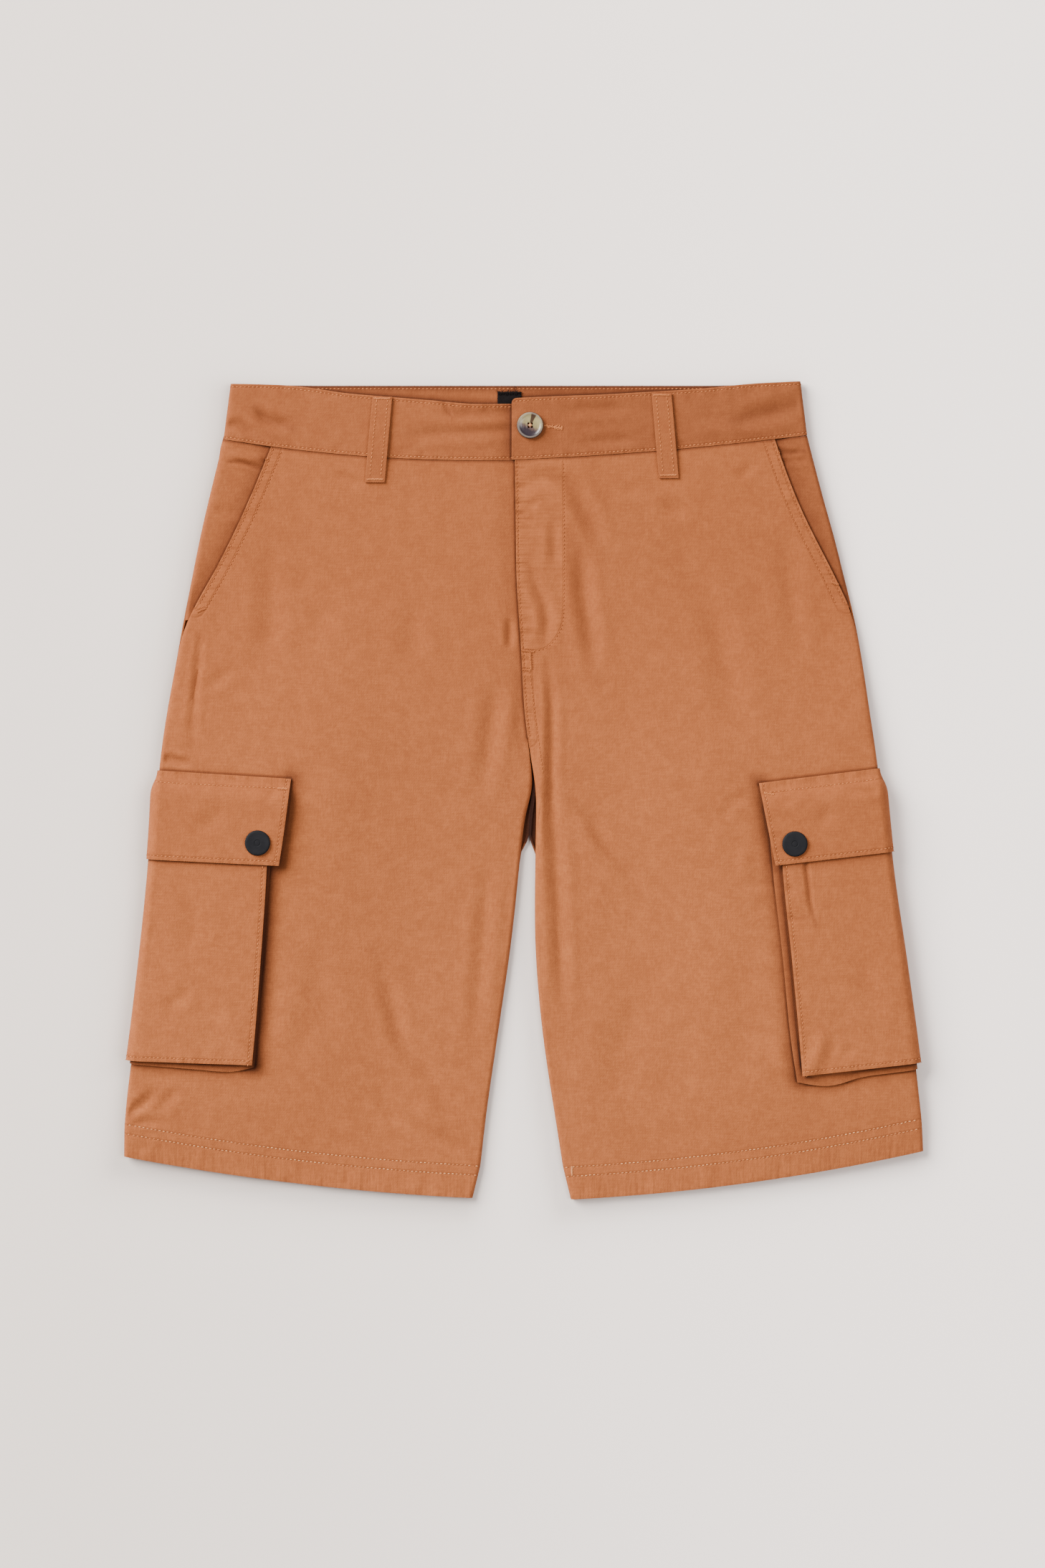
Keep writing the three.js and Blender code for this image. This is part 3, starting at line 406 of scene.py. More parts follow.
def setUnder(piece, over, base=0.0):  # painted shade: dark lines and soft shade under the edges that lie over a piece, and base shade over all of it
    points = readPoints(piece)
    contactShade = np.full(len(points), 100.0)
    light = np.full(len(points), 1.0 - base)
    # over: lines with the width and depth of their shade, and for some the height below which it falls
    for chain, width, depth, *below in over:
        far = planDistance(points[:, :2], planLine(chain), max(14.0, 3 * width))
        if below:
            far = np.where(points[:, 2] < below[0], far, 100.0)
        if "above" in chain:
            far = np.where(points[:, 2] > chain["above"], far, 100.0)
        if "soft" not in chain:
            contactShade = np.minimum(contactShade, far)
        light *= 1 - depth * np.exp(-((far / width) ** 2))
    writeField(piece, "contactShade", contactShade)
    writeField(piece, "shade", 1 - light)


def pucker(points, chain, height, wave=7.5, reach=9.0, seed=3):  # small ripples across a sewn edge
    low, high = chain["line"].min(0) - 2 * reach, chain["line"].max(0) + 2 * reach
    near = ((points > low) & (points < high)).all(1)
    if not near.any():
        return np.zeros(len(points))
    line = chain["line"][:: max(1, len(chain["line"]) // 160)]
    far, along, total = nearestOnPath(points[near], line)
    ripple = np.array([noise.noise(Vector((a / wave, seed * 5.1, 0))) for a in along])
    rise = np.zeros(len(points))
    rise[near] = height * 1.8 * ripple * np.exp(-((far / reach) ** 2)) * smoothStep(0, 1.2, far + 0.6)
    return rise


# Sewing. A stitch is modelled once and copied along every row.

sewing = {"pitch": 2.9, "length": 1.75, "radius": 0.33, "hemRadius": 0.38, "hole": 0.27, "jitter": 0.07,
          "lost": 3, "castFrom": 15, "castReach": 24, "sameWay": 0.2, "holeAhead": 1.45, "shortest": 1.55}
rows = {}  # places of the stitches of each piece of sewing


def stitchModel(radius):
    bpy.ops.object.select_all(action="DESELECT")
    bpy.ops.mesh.primitive_uv_sphere_add(segments=6, ring_count=4, radius=1, rotation=(0, math.pi / 2, 0))
    model = bpy.context.object
    bpy.ops.object.transform_apply(location=False, rotation=True, scale=True)
    bpy.ops.object.mode_set(mode="EDIT")
    bpy.ops.mesh.select_all(action="SELECT")
    bpy.ops.transform.resize(value=(0.5, radius, radius * 0.8))
    bpy.ops.object.mode_set(mode="OBJECT")
    return takeModel(model, lambda p: np.column_stack([p[:, 0] * (1 + 0.25 * (1 - 4 * p[:, 0] ** 2)), p[:, 1],
                                                      p[:, 2] + 0.17 - 0.95 * p[:, 0] ** 2]))


# Painted shade: a small dark disc standing for the shaded pit of a needle hole beside a stitch.
def holeModel():
    bpy.ops.object.select_all(action="DESELECT")
    bpy.ops.mesh.primitive_circle_add(vertices=6, radius=sewing["hole"], fill_type="TRIFAN")
    return takeModel(bpy.context.object, lambda p: p * np.array([1.15, 0.85, 1]) + np.array([0, 0, 0.035]))


def takeModel(model, shape):  # the points and faces of a small model, which is then removed
    points = np.array([v.co for v in model.data.vertices], float)
    faces = [tuple(p.vertices) for p in model.data.polygons]
    bpy.data.objects.remove(model)
    return shape(points), faces


def copies(name, model, places, material):  # one joined mesh of a model at many places, in millimetres
    points, faces = model
    at = np.array([p["at"] for p in places])
    along = np.array([p["along"] for p in places])
    up = np.array([p["up"] for p in places])
    across = np.cross(up, along)
    size = np.array([p["size"] for p in places])
    made = (at[:, None] + along[:, None] * points[None, :, :1] * size[:, None, None]
            + across[:, None] * points[None, :, 1:2] + up[:, None] * points[None, :, 2:])
    made[..., 2] = np.maximum(made[..., 2], floorGap)
    count = len(points)
    mesh = bpy.data.meshes.new(name)
    mesh.from_pydata((made.reshape(-1, 3) * mm).tolist(), [],
                     [[v + i * count for v in face] for i in range(len(places)) for face in faces])
    piece = bpy.data.objects.new(name, mesh)
    bpy.context.collection.objects.link(piece)
    choose(piece)
    bpy.ops.object.shade_smooth()
    piece.data.materials.append(material)
    return piece


def treeOf(piece):
    return BVHTree.FromObject(piece, bpy.context.evaluated_depsgraph_get())


def addRow(group, tree, line, up, inward=None, inset=0.0, pitch=None, size=None, skip=(0, 0)):
    # stitches along a line of a piece, set in from it over the skin
    pitch = pitch or sewing["pitch"]
    size = size or sewing["length"]
    step = np.linalg.norm(np.diff(line, axis=0), axis=1)
    along = np.concatenate([[0], np.cumsum(step)])
    count = int((along[-1] - sum(skip)) / pitch)
    marks = skip[0] + pitch * (np.arange(count) + 0.5)
    at = np.stack([np.interp(marks, along, line[:, k]) for k in range(3)], 1)
    ahead = np.stack([np.interp(marks + 0.4 * pitch, along, line[:, k]) for k in range(3)], 1)
    behind = np.stack([np.interp(marks - 0.4 * pitch, along, line[:, k]) for k in range(3)], 1)
    normal = np.stack([np.interp(marks, along, up[:, k]) for k in range(3)], 1)
    places = rows.setdefault(group, [])
    for p, a, b, n in zip(at, ahead, behind, normal):
        way = (a - b) / max(np.linalg.norm(a - b), 1e-9)
        n = n / max(np.linalg.norm(n), 1e-9)
        if inward is not None:
            side = np.cross(n, way)
            if side @ inward < 0:
                side = -side
            p = p + side * (inset + random.normal(0, sewing["jitter"]))
        spot, face, _, far = tree.find_nearest(Vector(p * mm))
        if spot is None or far > sewing["lost"] * mm:  # where the cloth climbs away from its edge
            spot, face, _, far = tree.ray_cast(Vector((p + n * sewing["castFrom"]) * mm), Vector(-n),
                                               sewing["castReach"] * mm)
        if spot is None or np.array(face) @ n < sewing["sameWay"]:
            continue
        face = np.array(face)
        way = way - face * (way @ face)
        way /= max(np.linalg.norm(way), 1e-9)
        places.append({"at": np.array(spot) / mm, "along": way, "up": face,
                       "size": size * (1 + random.normal(0, 0.05))})


def sewChain(group, tree, chain, inset, **more):
    addRow(group, tree, chain["line"], chain["up"], inward=-chain["facing"], inset=inset, **more)


def sewPath(group, tree, path, face=1, height=30.0, **more):  # a row along points given in plan
    flat = smoothPath(path, 10)
    line, up = [], []
    for x, y in flat:
        spot = tree.ray_cast(Vector((x, y, face * height)) * mm, Vector((0, 0, -face)))[0]
        if spot is not None:
            line.append(np.array(spot) / mm)
            up.append((0, 0, face))
    addRow(group, tree, np.array(line), np.array(up, float), **more)


def barTack(group, tree, start, end, width=2.4, pitch=0.62, face=1):  # close stitches across a short line
    a, b = np.array(start, float), np.array(end, float)
    way = (b - a) / np.linalg.norm(b - a)
    side = np.array([-way[1], way[0]])
    for i, mark in enumerate(np.arange(0, np.linalg.norm(b - a), pitch)):
        middle = a + way * mark + side * random.normal(0, 0.1)
        x, y = middle
        spot, normal, _, _ = tree.ray_cast(Vector((x, y, face * 30)) * mm, Vector((0, 0, -face)))
        if spot is None:
            continue
        turned = side + way * (0.16 if i % 2 else -0.16)
        along = np.array([turned[0], turned[1], 0])
        normal = np.array(normal)
        along = along - normal * (along @ normal)
        along /= np.linalg.norm(along)
        rows.setdefault(group, []).append({"at": np.array(spot) / mm + normal * 0.08, "along": along,
                                           "up": normal, "size": width})


# Materials

class Wire:  # a socket, so that maths on it reads as maths and adds its nodes
    def __init__(self, paint, socket):
        self.paint = paint
        self.socket = socket

    def math(self, operation, a, b=0.0):
        return self.paint.node("ShaderNodeMath", {"operation": operation}, [a, b])

    def __add__(self, other):
        return self.math("ADD", self, other)

    def __radd__(self, other):
        return self.math("ADD", other, self)

    def __sub__(self, other):
        return self.math("SUBTRACT", self, other)

    def __rsub__(self, other):
        return self.math("SUBTRACT", other, self)

    def __mul__(self, other):
        return self.math("MULTIPLY", self, other)

    def __rmul__(self, other):
        return self.math("MULTIPLY", other, self)

    def __truediv__(self, other):
        return self.math("DIVIDE", self, other)

    def __rtruediv__(self, other):
        return self.math("DIVIDE", other, self)


class Paint:  # one material, and the nodes that are added to it
    def __init__(self, name, **constants):
        self.material = bpy.data.materials.new(name)
        self.material.use_nodes = True
        self.tree = self.material.node_tree
        self.shader = self.tree.nodes["Principled BSDF"]
        for socket, value in constants.items():
            self.shader.inputs[socket.replace("_", " ")].default_value = value

    def node(self, kind, settings, inputs, output=0):
        made = self.tree.nodes.new(kind)
        stops = settings.pop("stops", None)
        for key, value in settings.items():
            setattr(made, key, value)
        if stops:
            ramp = made.color_ramp.elements
            while len(ramp) < len(stops):
                ramp.new(0.5)
            for element, (place, colour) in zip(ramp, stops):
                element.position = place
                element.color = colour
        pairs = inputs.items() if isinstance(inputs, dict) else enumerate(inputs)
        for key, value in pairs:
            if isinstance(value, Wire):
                self.tree.links.new(value.socket, made.inputs[key])
            else:
                made.inputs[key].default_value = value
        return Wire(self, made.outputs[output])

    def places(self, move=(0, 0, 0), stretch=(1, 1, 1), turn=(0, 0, 0)):  # object coordinates in millimetres
        own = self.node("ShaderNodeTexCoord", {}, {}, "Object")
        scaled = self.node("ShaderNodeVectorMath", {"operation": "SCALE"}, {0: own, "Scale": 1 / mm})
        return self.node("ShaderNodeMapping", {}, {"Vector": scaled, "Location": move, "Rotation": turn,
                                                   "Scale": stretch})

    def parts(self, vector):
        return [self.node("ShaderNodeSeparateXYZ", {}, {"Vector": vector}, axis) for axis in "XYZ"]

    def noise(self, vector, size, detail=2.0, roughness=0.5):
        return self.node("ShaderNodeTexNoise", {}, {"Vector": vector, "Scale": 1 / size, "Detail": detail,
                                                    "Roughness": roughness}, 0)

    def field(self, name):
        return self.node("ShaderNodeAttribute", {"attribute_name": name}, {}, "Fac")

    def fade(self, value, start, end):  # 1 at start, smoothly down to 0 at end
        return self.node("ShaderNodeMapRange", {"interpolation_type": "SMOOTHSTEP"},
                         {"Value": value, "From Min": start, "From Max": end, "To Min": 1.0, "To Max": 0.0})

    def size(self, value):
        return self.node("ShaderNodeMath", {"operation": "ABSOLUTE"}, [value])

    def sine(self, value):
        return self.node("ShaderNodeMath", {"operation": "SINE"}, [value])

    def blend(self, share, a, b, kind="MIX"):
        return self.node("ShaderNodeMix", {"data_type": "RGBA", "blend_type": kind}, {0: share, 6: a, 7: b}, 2)

    def ramp(self, value, stops):
        return self.node("ShaderNodeValToRGB", {"stops": stops}, {"Fac": value}, "Color")

    def set(self, socket, wire):
        self.tree.links.new(wire.socket, self.shader.inputs[socket])

    def relief(self, height, strength=1.0):  # a height in millimetres
        bump = self.node("ShaderNodeBump", {}, {"Height": height, "Distance": mm, "Strength": strength}, "Normal")
        self.set("Normal", bump)


def tint(red, green, blue):
    return (red, green, blue, 1)


twill = {
    "cloth": tint(0.240, 0.0665, 0.0185),
    # The tone below is what worn edges and random patches drift to, and also the painted light towards the hems.
    "wornAndLit": tint(0.292, 0.0880, 0.0265),
    "deep": tint(0.140, 0.0330, 0.0080),
    "band": tint(0.190, 0.0520, 0.0150),
    "shaded": tint(0.300, 0.240, 0.200),  # what cloth colour is multiplied by in the deepest shade
    # what the deepest painted shade is multiplied by once more
    "deepestShade": tint(0.360, 0.320, 0.300),
    "thread": tint(0.330, 0.102, 0.0310),
    "waistThread": tint(0.440, 0.155, 0.0530),
    "buttonThread": tint(0.380, 0.128, 0.0420),
    "hemThread": tint(0.600, 0.290, 0.1300),
    "hole": tint(0.085, 0.022, 0.0070),
    "wale": 0.84,  # width of one diagonal rib of the weave
    "yarn": 0.46,
    "roughness": 0.86,
    "sheen": 0.04,
}


def clothPaint(name, tone, lines, seed=0):
    # lines: for each field of the mesh, where its rows of stitches lie, and which way its ripples run
    paint = Paint(name, Roughness=twill["roughness"], Sheen_Weight=twill["sheen"], Sheen_Roughness=0.45,
                  Sheen_Tint=tint(1.0, 0.72, 0.5), Specular_IOR_Level=0.16)
    places = paint.places(move=(seed * 31, seed * 17, 0))
    x, y, _ = paint.parts(places)
    uneven = paint.noise(places, 6, 1)
    turn = math.radians(61)
    wale = x * math.cos(turn) * -1 + y * math.sin(turn) * 0.45 + uneven * 0.5
    rib = paint.sine(wale * (2 * math.pi / twill["wale"]))
    warp = paint.noise(paint.places(stretch=(1 / twill["yarn"], 0.16, 1)), 1, 1)
    weft = paint.noise(paint.places(stretch=(0.14, 1 / twill["yarn"], 1)), 1, 1)
    grain = paint.noise(places, 1.1, 2)
    mottle = paint.noise(places, 55, 3, 0.6)
    patch = paint.noise(places, 9, 3, 0.6)
    height = rib * 0.013 + warp * 0.05 + weft * 0.05 + grain * 0.09 + patch * 0.12
    furrow, strip = 0.0, 0.0
    for line in lines:
        far = paint.field(line["field"])
        stretch = (0.21, 0.03, 0.01) if line["along"] == "X" else (0.03, 0.21, 0.01)
        ripple = paint.noise(paint.places(stretch=stretch), 1, 2)
        strength = 2.0 * line.get("ripple", 0.5)
        height = height + (ripple - 0.5) * paint.fade(far, 2, line.get("reach", 11)) * strength
        for place in line["rows"]:
            dip = paint.fade(paint.size(far - place), 0.15, 1.25)
            if "below" in line:
                dip = dip * paint.fade(y, line["below"], line["below"] + 4)
            furrow = dip + furrow
        strip = paint.fade(far, 0.2, 1.3) + strip
    speck = paint.noise(places, 2.2, 2, 0.7)
    # Painted light: the cloth is painted lighter towards the hems, where less light falls on it.
    paintedLightLow = paint.fade(y, -150, 190) * 0.6
    colour = paint.blend(mottle * 0.5 + grain * 0.32 + paintedLightLow, tone, twill["wornAndLit"])
    yarns = warp * 0.42 + weft * 0.38 + rib * 0.02 + patch * 0.25
    colour = paint.blend(paint.fade(yarns, 0.42, 0.66) * 0.34, colour, twill["deep"])
    colour = paint.blend(paint.fade(speck * 0.7 + patch * 0.3, 0.36, 0.62) * 0.22, colour, twill["deep"])
    # Painted shade: dark lines where an edge of another piece lies over the cloth.
    under = paint.fade(paint.field("contactShade"), 0.5, 2.4)
    colour = paint.blend(under * 0.6, colour, twill["shaded"], "MULTIPLY")
    # Painted shade from the shade field, multiplied in once more where it is deepest.
    shade = paint.field("shade")
    colour = paint.blend(shade, colour, twill["shaded"], "MULTIPLY")
    colour = paint.blend(paint.fade(shade, 1.0, 0.86), colour, twill["deepestShade"], "MULTIPLY")
    if lines:
        colour = paint.blend(furrow * 0.2, colour, twill["deep"])
        colour = paint.blend(strip * (0.35 * patch), colour, twill["wornAndLit"])
        height = height - furrow * 0.22
    paint.set("Base Color", colour)
    paint.set("Roughness", 0.94 - yarns * 0.12)
    paint.relief(height, 0.9)
    return paint.material


def threadPaint(name, bright, dull):
    paint = Paint(name, Roughness=0.7, Specular_IOR_Level=0.12)
    strands = paint.noise(paint.places(), 0.5, 2)
    tone = paint.noise(paint.places(), 9, 2)
    paint.set("Base Color", paint.blend(strands * 0.3 + paint.fade(tone, 0.62, 0.36) * 0.7, bright, dull))
    paint.relief(strands * 0.08)
    return paint.material


# Painted shade: the colour of the dark discs at the needle holes.
def holePaint():
    paint = Paint("needleHoleShade", Roughness=1.0, Specular_IOR_Level=0.0)
    shade = paint.noise(paint.places(), 2.5, 1)
    paint.set("Base Color", paint.blend(shade, twill["hole"], tint(0.125, 0.034, 0.0110)))
    return paint.material


def labelPaint():
    paint = Paint("blackLabel", Roughness=0.9, Specular_IOR_Level=0.04)
    x, y, _ = paint.parts(paint.places())
    weave = paint.sine(x * 14.0) * paint.sine(y * 14.0)
    cloud = paint.noise(paint.places(), 4, 2)
    paint.set("Base Color", paint.blend(cloud, tint(0.004, 0.003, 0.003), tint(0.010, 0.008, 0.008)))
    paint.relief(weave * 0.05)
    return paint.material


paints = {
    "front": clothPaint("frontTwill", twill["cloth"], [
        dict(field="hem", rows=(16.8, 23.5), along="X", reach=30, ripple=0.6),
        dict(field="slant", rows=(2.0, 8.0), along="Y", reach=13, ripple=0.7),
        dict(field="fly", rows=(1.6,), along="Y", reach=9, ripple=0.45),
        dict(field="fly", rows=(7.5,), along="Y", reach=12, ripple=0.4, below=87),
        dict(field="curve", rows=(0.0,), along="Y", reach=6, ripple=0.35),
    ]),
    "back": clothPaint("backTwill", twill["cloth"], [
        dict(field="hem", rows=(16.8, 23.5), along="X", reach=30, ripple=0.6),
        dict(field="fly", rows=(1.6, 7.5), along="Y", reach=12, ripple=0.5),
    ], 3),
    "pocket": clothPaint("pocketTwill", twill["cloth"], [
        dict(field="inner", rows=(3.0,), along="Y", reach=9, ripple=0.5),
        dict(field="lower", rows=(3.0,), along="X", reach=9, ripple=0.5),
    ], 5),
    "flap": clothPaint("flapTwill", twill["cloth"], [
        dict(field="inner", rows=(3.0,), along="Y", reach=8, ripple=0.45),
        dict(field="lower", rows=(3.0,), along="X", reach=8, ripple=0.45),
        dict(field="upper", rows=(8.0,), along="X", reach=12, ripple=0.5),
    ], 7),
    "band": clothPaint("bandTwill", twill["band"], [
        dict(field="lower", rows=(1.8,), along="X", reach=7, ripple=0.5),
        dict(field="upper", rows=(2.2,), along="X", reach=7, ripple=0.5),
    ], 9),
    "plain": clothPaint("innerTwill", twill["cloth"], [], 11),
    "loop": clothPaint("loopTwill", twill["band"], [], 13),
    "label": labelPaint(),
    "thread": threadPaint("thread", twill["thread"], twill["cloth"]),
    "waistThread": threadPaint("waistThread", twill["waistThread"], twill["thread"]),
    "buttonThread": threadPaint("buttonThread", twill["buttonThread"], twill["thread"]),
    "hemThread": threadPaint("hemThread", twill["hemThread"], twill["thread"]),
    "hole": holePaint(),
}
print("materials made")


# The cut pieces. flat is what each was cut to, in metres, all round where it goes round the side.

# middle is the height between its lower skins and its upper ones, where it goes round the side. It is
# onTop where a piece has only upper skins, and underneath where it lies on the floor.

pieces = {}
rimLines = {}
cut = {}
onTop, underneath, pocketMiddle, bandMiddle = -1, 100, 8.8, 4.7
for side in ("right", "left"):
    cut["front_" + side] = dict(levels=3, paint="front", flat=(0.289, 0.560), area=0.130, middle=onTop,
                                tables=("front",), rests="back_" + side)
    cut["back_" + side] = dict(levels=2, paint="back", flat=(0.292, 0.565), area=0.134, middle=underneath,
                               tables=("back",), rests="floor")
    cut["cargo_bellows_" + side] = dict(levels=2, paint="plain", flat=(0.058, 0.280), area=0.0158,
                                        middle=pocketMiddle, tables=("front",), rests="front_" + side)
    cut["cargo_pouch_" + side] = dict(levels=3, paint="pocket", flat=(0.176, 0.196), area=0.0342,
                                      middle=pocketMiddle, tables=("front", "pocket"),
                                      rests="cargo_bellows_" + side)
for side, facing, band, flap in (
        ("right", (0.048, 0.134, 0.0043), (0.442, 0.043, 0.0187), (0.200, 0.068, 0.0133)),
        ("left", (0.042, 0.128, 0.0033), (0.426, 0.042, 0.0177), (0.178, 0.067, 0.0116))):
    cut["hip_facing_" + side] = dict(levels=4, paint="plain", flat=facing[:2], area=facing[2], middle=onTop,
                                     tables=("front", "facing"), rests="back_" + side)
    cut["waistband_" + side] = dict(levels=3, paint="band", flat=band[:2], area=band[2], middle=bandMiddle,
                                    tables=("band",), rests="floor", slot="band")
    cut["cargo_flap_" + side] = dict(levels=3, paint="flap", flat=flap[:2], area=flap[2],
                                     middle=pocketMiddle, tables=("front", "flap"), rests="cargo_pouch_" + side)
for loop in ("front_right", "front_left", "back_right", "back_centre", "back_left"):
    front = loop.startswith("front")
    cut["belt_loop_" + loop] = dict(levels=3, paint="loop", flat=(0.0146, 0.064), area=0.00093,
                                    middle=onTop if front else underneath,
                                    tables=("front", "band") if front else ("back",),
                                    rests="waistband_" + loop.split("_")[-1].replace("centre", "left"))
cut["back_label"] = dict(levels=2, paint="label", flat=(0.0172, 0.020), area=0.00034, middle=onTop, tables=(),
                         rests="waistband_left", slot="label")

# Which way each sewn edge of a piece faces, and which part of it is meant
outerSign = {"right": -1, "left": 1}


def edgesOf(node):
    side = node.split("_")[-1]
    out = outerSign.get(side, 1)
    if node.startswith("front_"):
        found = {"hem": ((0, -1, 0), lambda p: p.y < -240),
                 "slant": ((out * 0.9, 0.436, 0), lambda p: p.y > 118)}
        if side == "left":
            found["fly"] = ((-1, 0, 0), lambda p: 6 < p.y < 238)
        return found
    if node.startswith("back_") and node != "back_label":
        return {"hem": ((0, -1, 0), lambda p: p.y < -240),
                **({"fly": ((-1, 0, 0), lambda p: 6 < p.y < 252)} if side == "left" else {})}
    if node.startswith("waistband_"):
        return {"upper": ((0, 1, 0), lambda p: p.y > 262), "lower": ((0, -1, 0), lambda p: p.y < 262),
                "end": ((-1, 0, 0), lambda p: abs(p.x) < 20)}
    if node.startswith(("cargo_pouch_", "cargo_bellows_")):
        return {"inner": ((-out, 0, 0), lambda p: p.y < -20), "lower": ((0, -1, 0), lambda p: p.y < -150)}
    if node.startswith("cargo_flap_"):
        return {"inner": ((-out, 0, 0), lambda p: True), "lower": ((0, -1, 0), lambda p: p.y < -20),
                "upper": ((0, 1, 0), lambda p: p.y > -20)}
    return {}


fieldNames = {"front": ("hem", "slant", "fly", "curve"), "back": ("hem", "fly"), "pocket": ("inner", "lower"),
              "flap": ("inner", "lower", "upper"), "band": ("lower", "upper")}
shapePuckers = ("front", "hip", "waistband", "cargo_pouch", "cargo_flap", "belt")
puckers = {"hem": (0.50, 15), "slant": (0.48, 9), "fly": (0.38, 8), "inner": (0.40, 8), "lower": (0.36, 7),
           "upper": (0.40, 9)}  # how high the ripples are, and how far they reach
flyCurve = [(28.5, 236), (29, 180), (28.6, 128), (25, 113), (15, 102), (-1, 100)]


def frontShare(points, middle):  # 1 on what lies above the middle height of a piece that goes round the side
    return smoothStep(middle - 0.5, middle + 1.6, points[:, 2])


fork = {"top": 36, "below": 28, "full": -32, "end": -47, "reach": 24, "apart": 0.0}


def innerEdge(mesh, points, sign, ys):  # the edge of a leg at some heights, from where its mesh crosses them
    ends = np.zeros(len(mesh.edges) * 2, np.int32)
    mesh.edges.foreach_get("vertices", ends)
    a, b = points[ends[::2]], points[ends[1::2]]
    marks, edge = np.arange(-70.0, 46.0, 3.0) + 0.01, []
    for mark in marks:
        across = (a[:, 1] - mark) * (b[:, 1] - mark) < 0
        low, high = a[across], b[across]
        share = (mark - low[:, 1]) / (high[:, 1] - low[:, 1])
        edge.append(((low[:, 0] + share * (high[:, 0] - low[:, 0])) * sign).max() * sign)
    return np.interp(ys, marks, edge)


def closeFork(piece, points, side):  # the two halves of the back meet below the front's crotch
    sign = 1 if side == "right" else -1
    y = points[:, 1]
    edges = []
    for name, way in (("right", 1), ("left", -1)):
        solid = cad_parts["back_" + name].data
        corners = np.array([v.co for v in solid.vertices], float) / mm
        edges.append(innerEdge(solid, corners, way, y))
    own = innerEdge(piece.data, points, sign, y)
    window = smoothStep(fork["end"], fork["full"], y) * smoothStep(fork["top"], fork["below"], y)
    near = smoothStep(fork["reach"], 0, np.abs(points[:, 0] - own))
    points[:, 0] += (sum(edges) / 2 - sign * fork["apart"] - own) * window * near


def roundTab(points, middle, radius=3.6):  # the top corner of the tab at the fly
    front = (points[:, 2] > middle) & (points[:, 0] < 20)
    upper = front & (points[:, 1] > 272)
    left = points[upper, 0].min()
    top = points[upper & (points[:, 0] < left + 3), 1].max()
    centre = np.array([left + radius, top - radius])
    corner = front & (points[:, 0] < centre[0]) & (points[:, 1] > centre[1])
    u = np.clip((points[corner, :2] - centre) / radius, -1, 1)
    points[corner, 0] = centre[0] + radius * u[:, 0] * np.sqrt(1 - u[:, 1] ** 2 / 2)
    points[corner, 1] = centre[1] + radius * u[:, 1] * np.sqrt(1 - u[:, 0] ** 2 / 2)


# The corner that reaches up under the band's end, and the end where the band's halves meet at the back
underBand = {"lift": 3, "x": (-212, -218), "y": (238, 244)}
bandEnd = {"x": -5.75, "width": 0.8, "above": 248, "below": 3.5, "move": 0.7}


def makeCloth(node, spec):
    piece = clothFrom(node, spec["levels"])
    points = readPoints(piece)
    if node in ("back_right", "back_left"):
        closeFork(piece, points, node.split("_")[1])
    if node == "waistband_left":
        roundTab(points, spec["middle"])
    if node in ("hip_facing_right", "back_right"):
        points[:, 1] += (underBand["lift"] * smoothStep(*underBand["x"], points[:, 0])
                         * smoothStep(*underBand["y"], points[:, 1]))
    if node == "waistband_right":
        end = ((np.abs(points[:, 0] - bandEnd["x"]) < bandEnd["width"]) & (points[:, 1] > bandEnd["above"])
               & (points[:, 2] < bandEnd["below"]))
        points[end, 0] += bandEnd["move"]
    share = insideFolds(points)
    if spec["middle"] in (pocketMiddle, bandMiddle):
        share = share * frontShare(points, spec["middle"])
    rise = fieldHeight(points, spec["tables"])
    if node != "back_label":
        wave = waveHeight(points)
        rise += np.maximum(0, wave) if spec["middle"] == underneath else wave
    points[:, 2] += share * rise
    writePoints(piece, points)
    rims = rimEdges(piece, spec["middle"])
    lines = {name: chains(rims, facing, keep) for name, (facing, keep) in edgesOf(node).items()}
    if node.startswith("waistband_"):
        lines["inside"] = chains(rims, (0, 1, 0), lambda p: p.z < spec["middle"], outer=False)
    bend = np.zeros(len(points))
    for i, (name, found) in enumerate(lines.items()):
        if name in puckers and spec["middle"] != underneath and node.startswith(shapePuckers):
            height, reach = puckers[name]
            for chain in found[:1]:
                bend += pucker(points, chain, height, reach=reach, seed=i + len(node))
    points[:, 2] = np.maximum(points[:, 2] + share * bend, floorGap)
    writePoints(piece, points)
    finishCloth(piece, paints[spec["paint"]])
    for name in fieldNames.get(spec["paint"], ()):
        if name == "curve":
            setCurveField(piece, name, flyCurve if node == "front_left" else None)
        else:
            setField(piece, name, lines.get(name, []))
    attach(piece, "root")
    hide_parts(node)
    pieces[node] = piece
    rimLines[node] = lines


def setCurveField(piece, name, path, reach=25.0):  # signed, so that it stays true between the mesh's points
    points = readPoints(piece)
    values = np.full(len(points), 100.0)
    if path is not None:
        curve = smoothPath(path, 8)
        low, high = curve.min(0) - reach, curve.max(0) + reach
        near = ((points[:, :2] > low) & (points[:, :2] < high)).all(1)
        far, _, _ = nearestOnPath(points[near, :2], curve)
        inside = insideCurve(points[near, :2], curve)
        values[near] = np.where(inside, -far, far)
    writeField(piece, name, values)


def insideCurve(points, curve):  # left of the fly's curve and above its foot
    x = np.interp(points[:, 1], curve[::-1, 1], curve[::-1, 0])
    return (points[:, 0] < x) & (points[:, 1] > curve[-1, 1])


for node, spec in cut.items():
    makeCloth(node, spec)

# Painted shade: which edges lie over each piece, how far the shade painted beside them reaches and how deep it is

def edgesOver(side, *wanted):
    return [(chain, *measures) for node, name, *measures in wanted
            for chain in rimLines[node + "_" + side].get(name, [])]


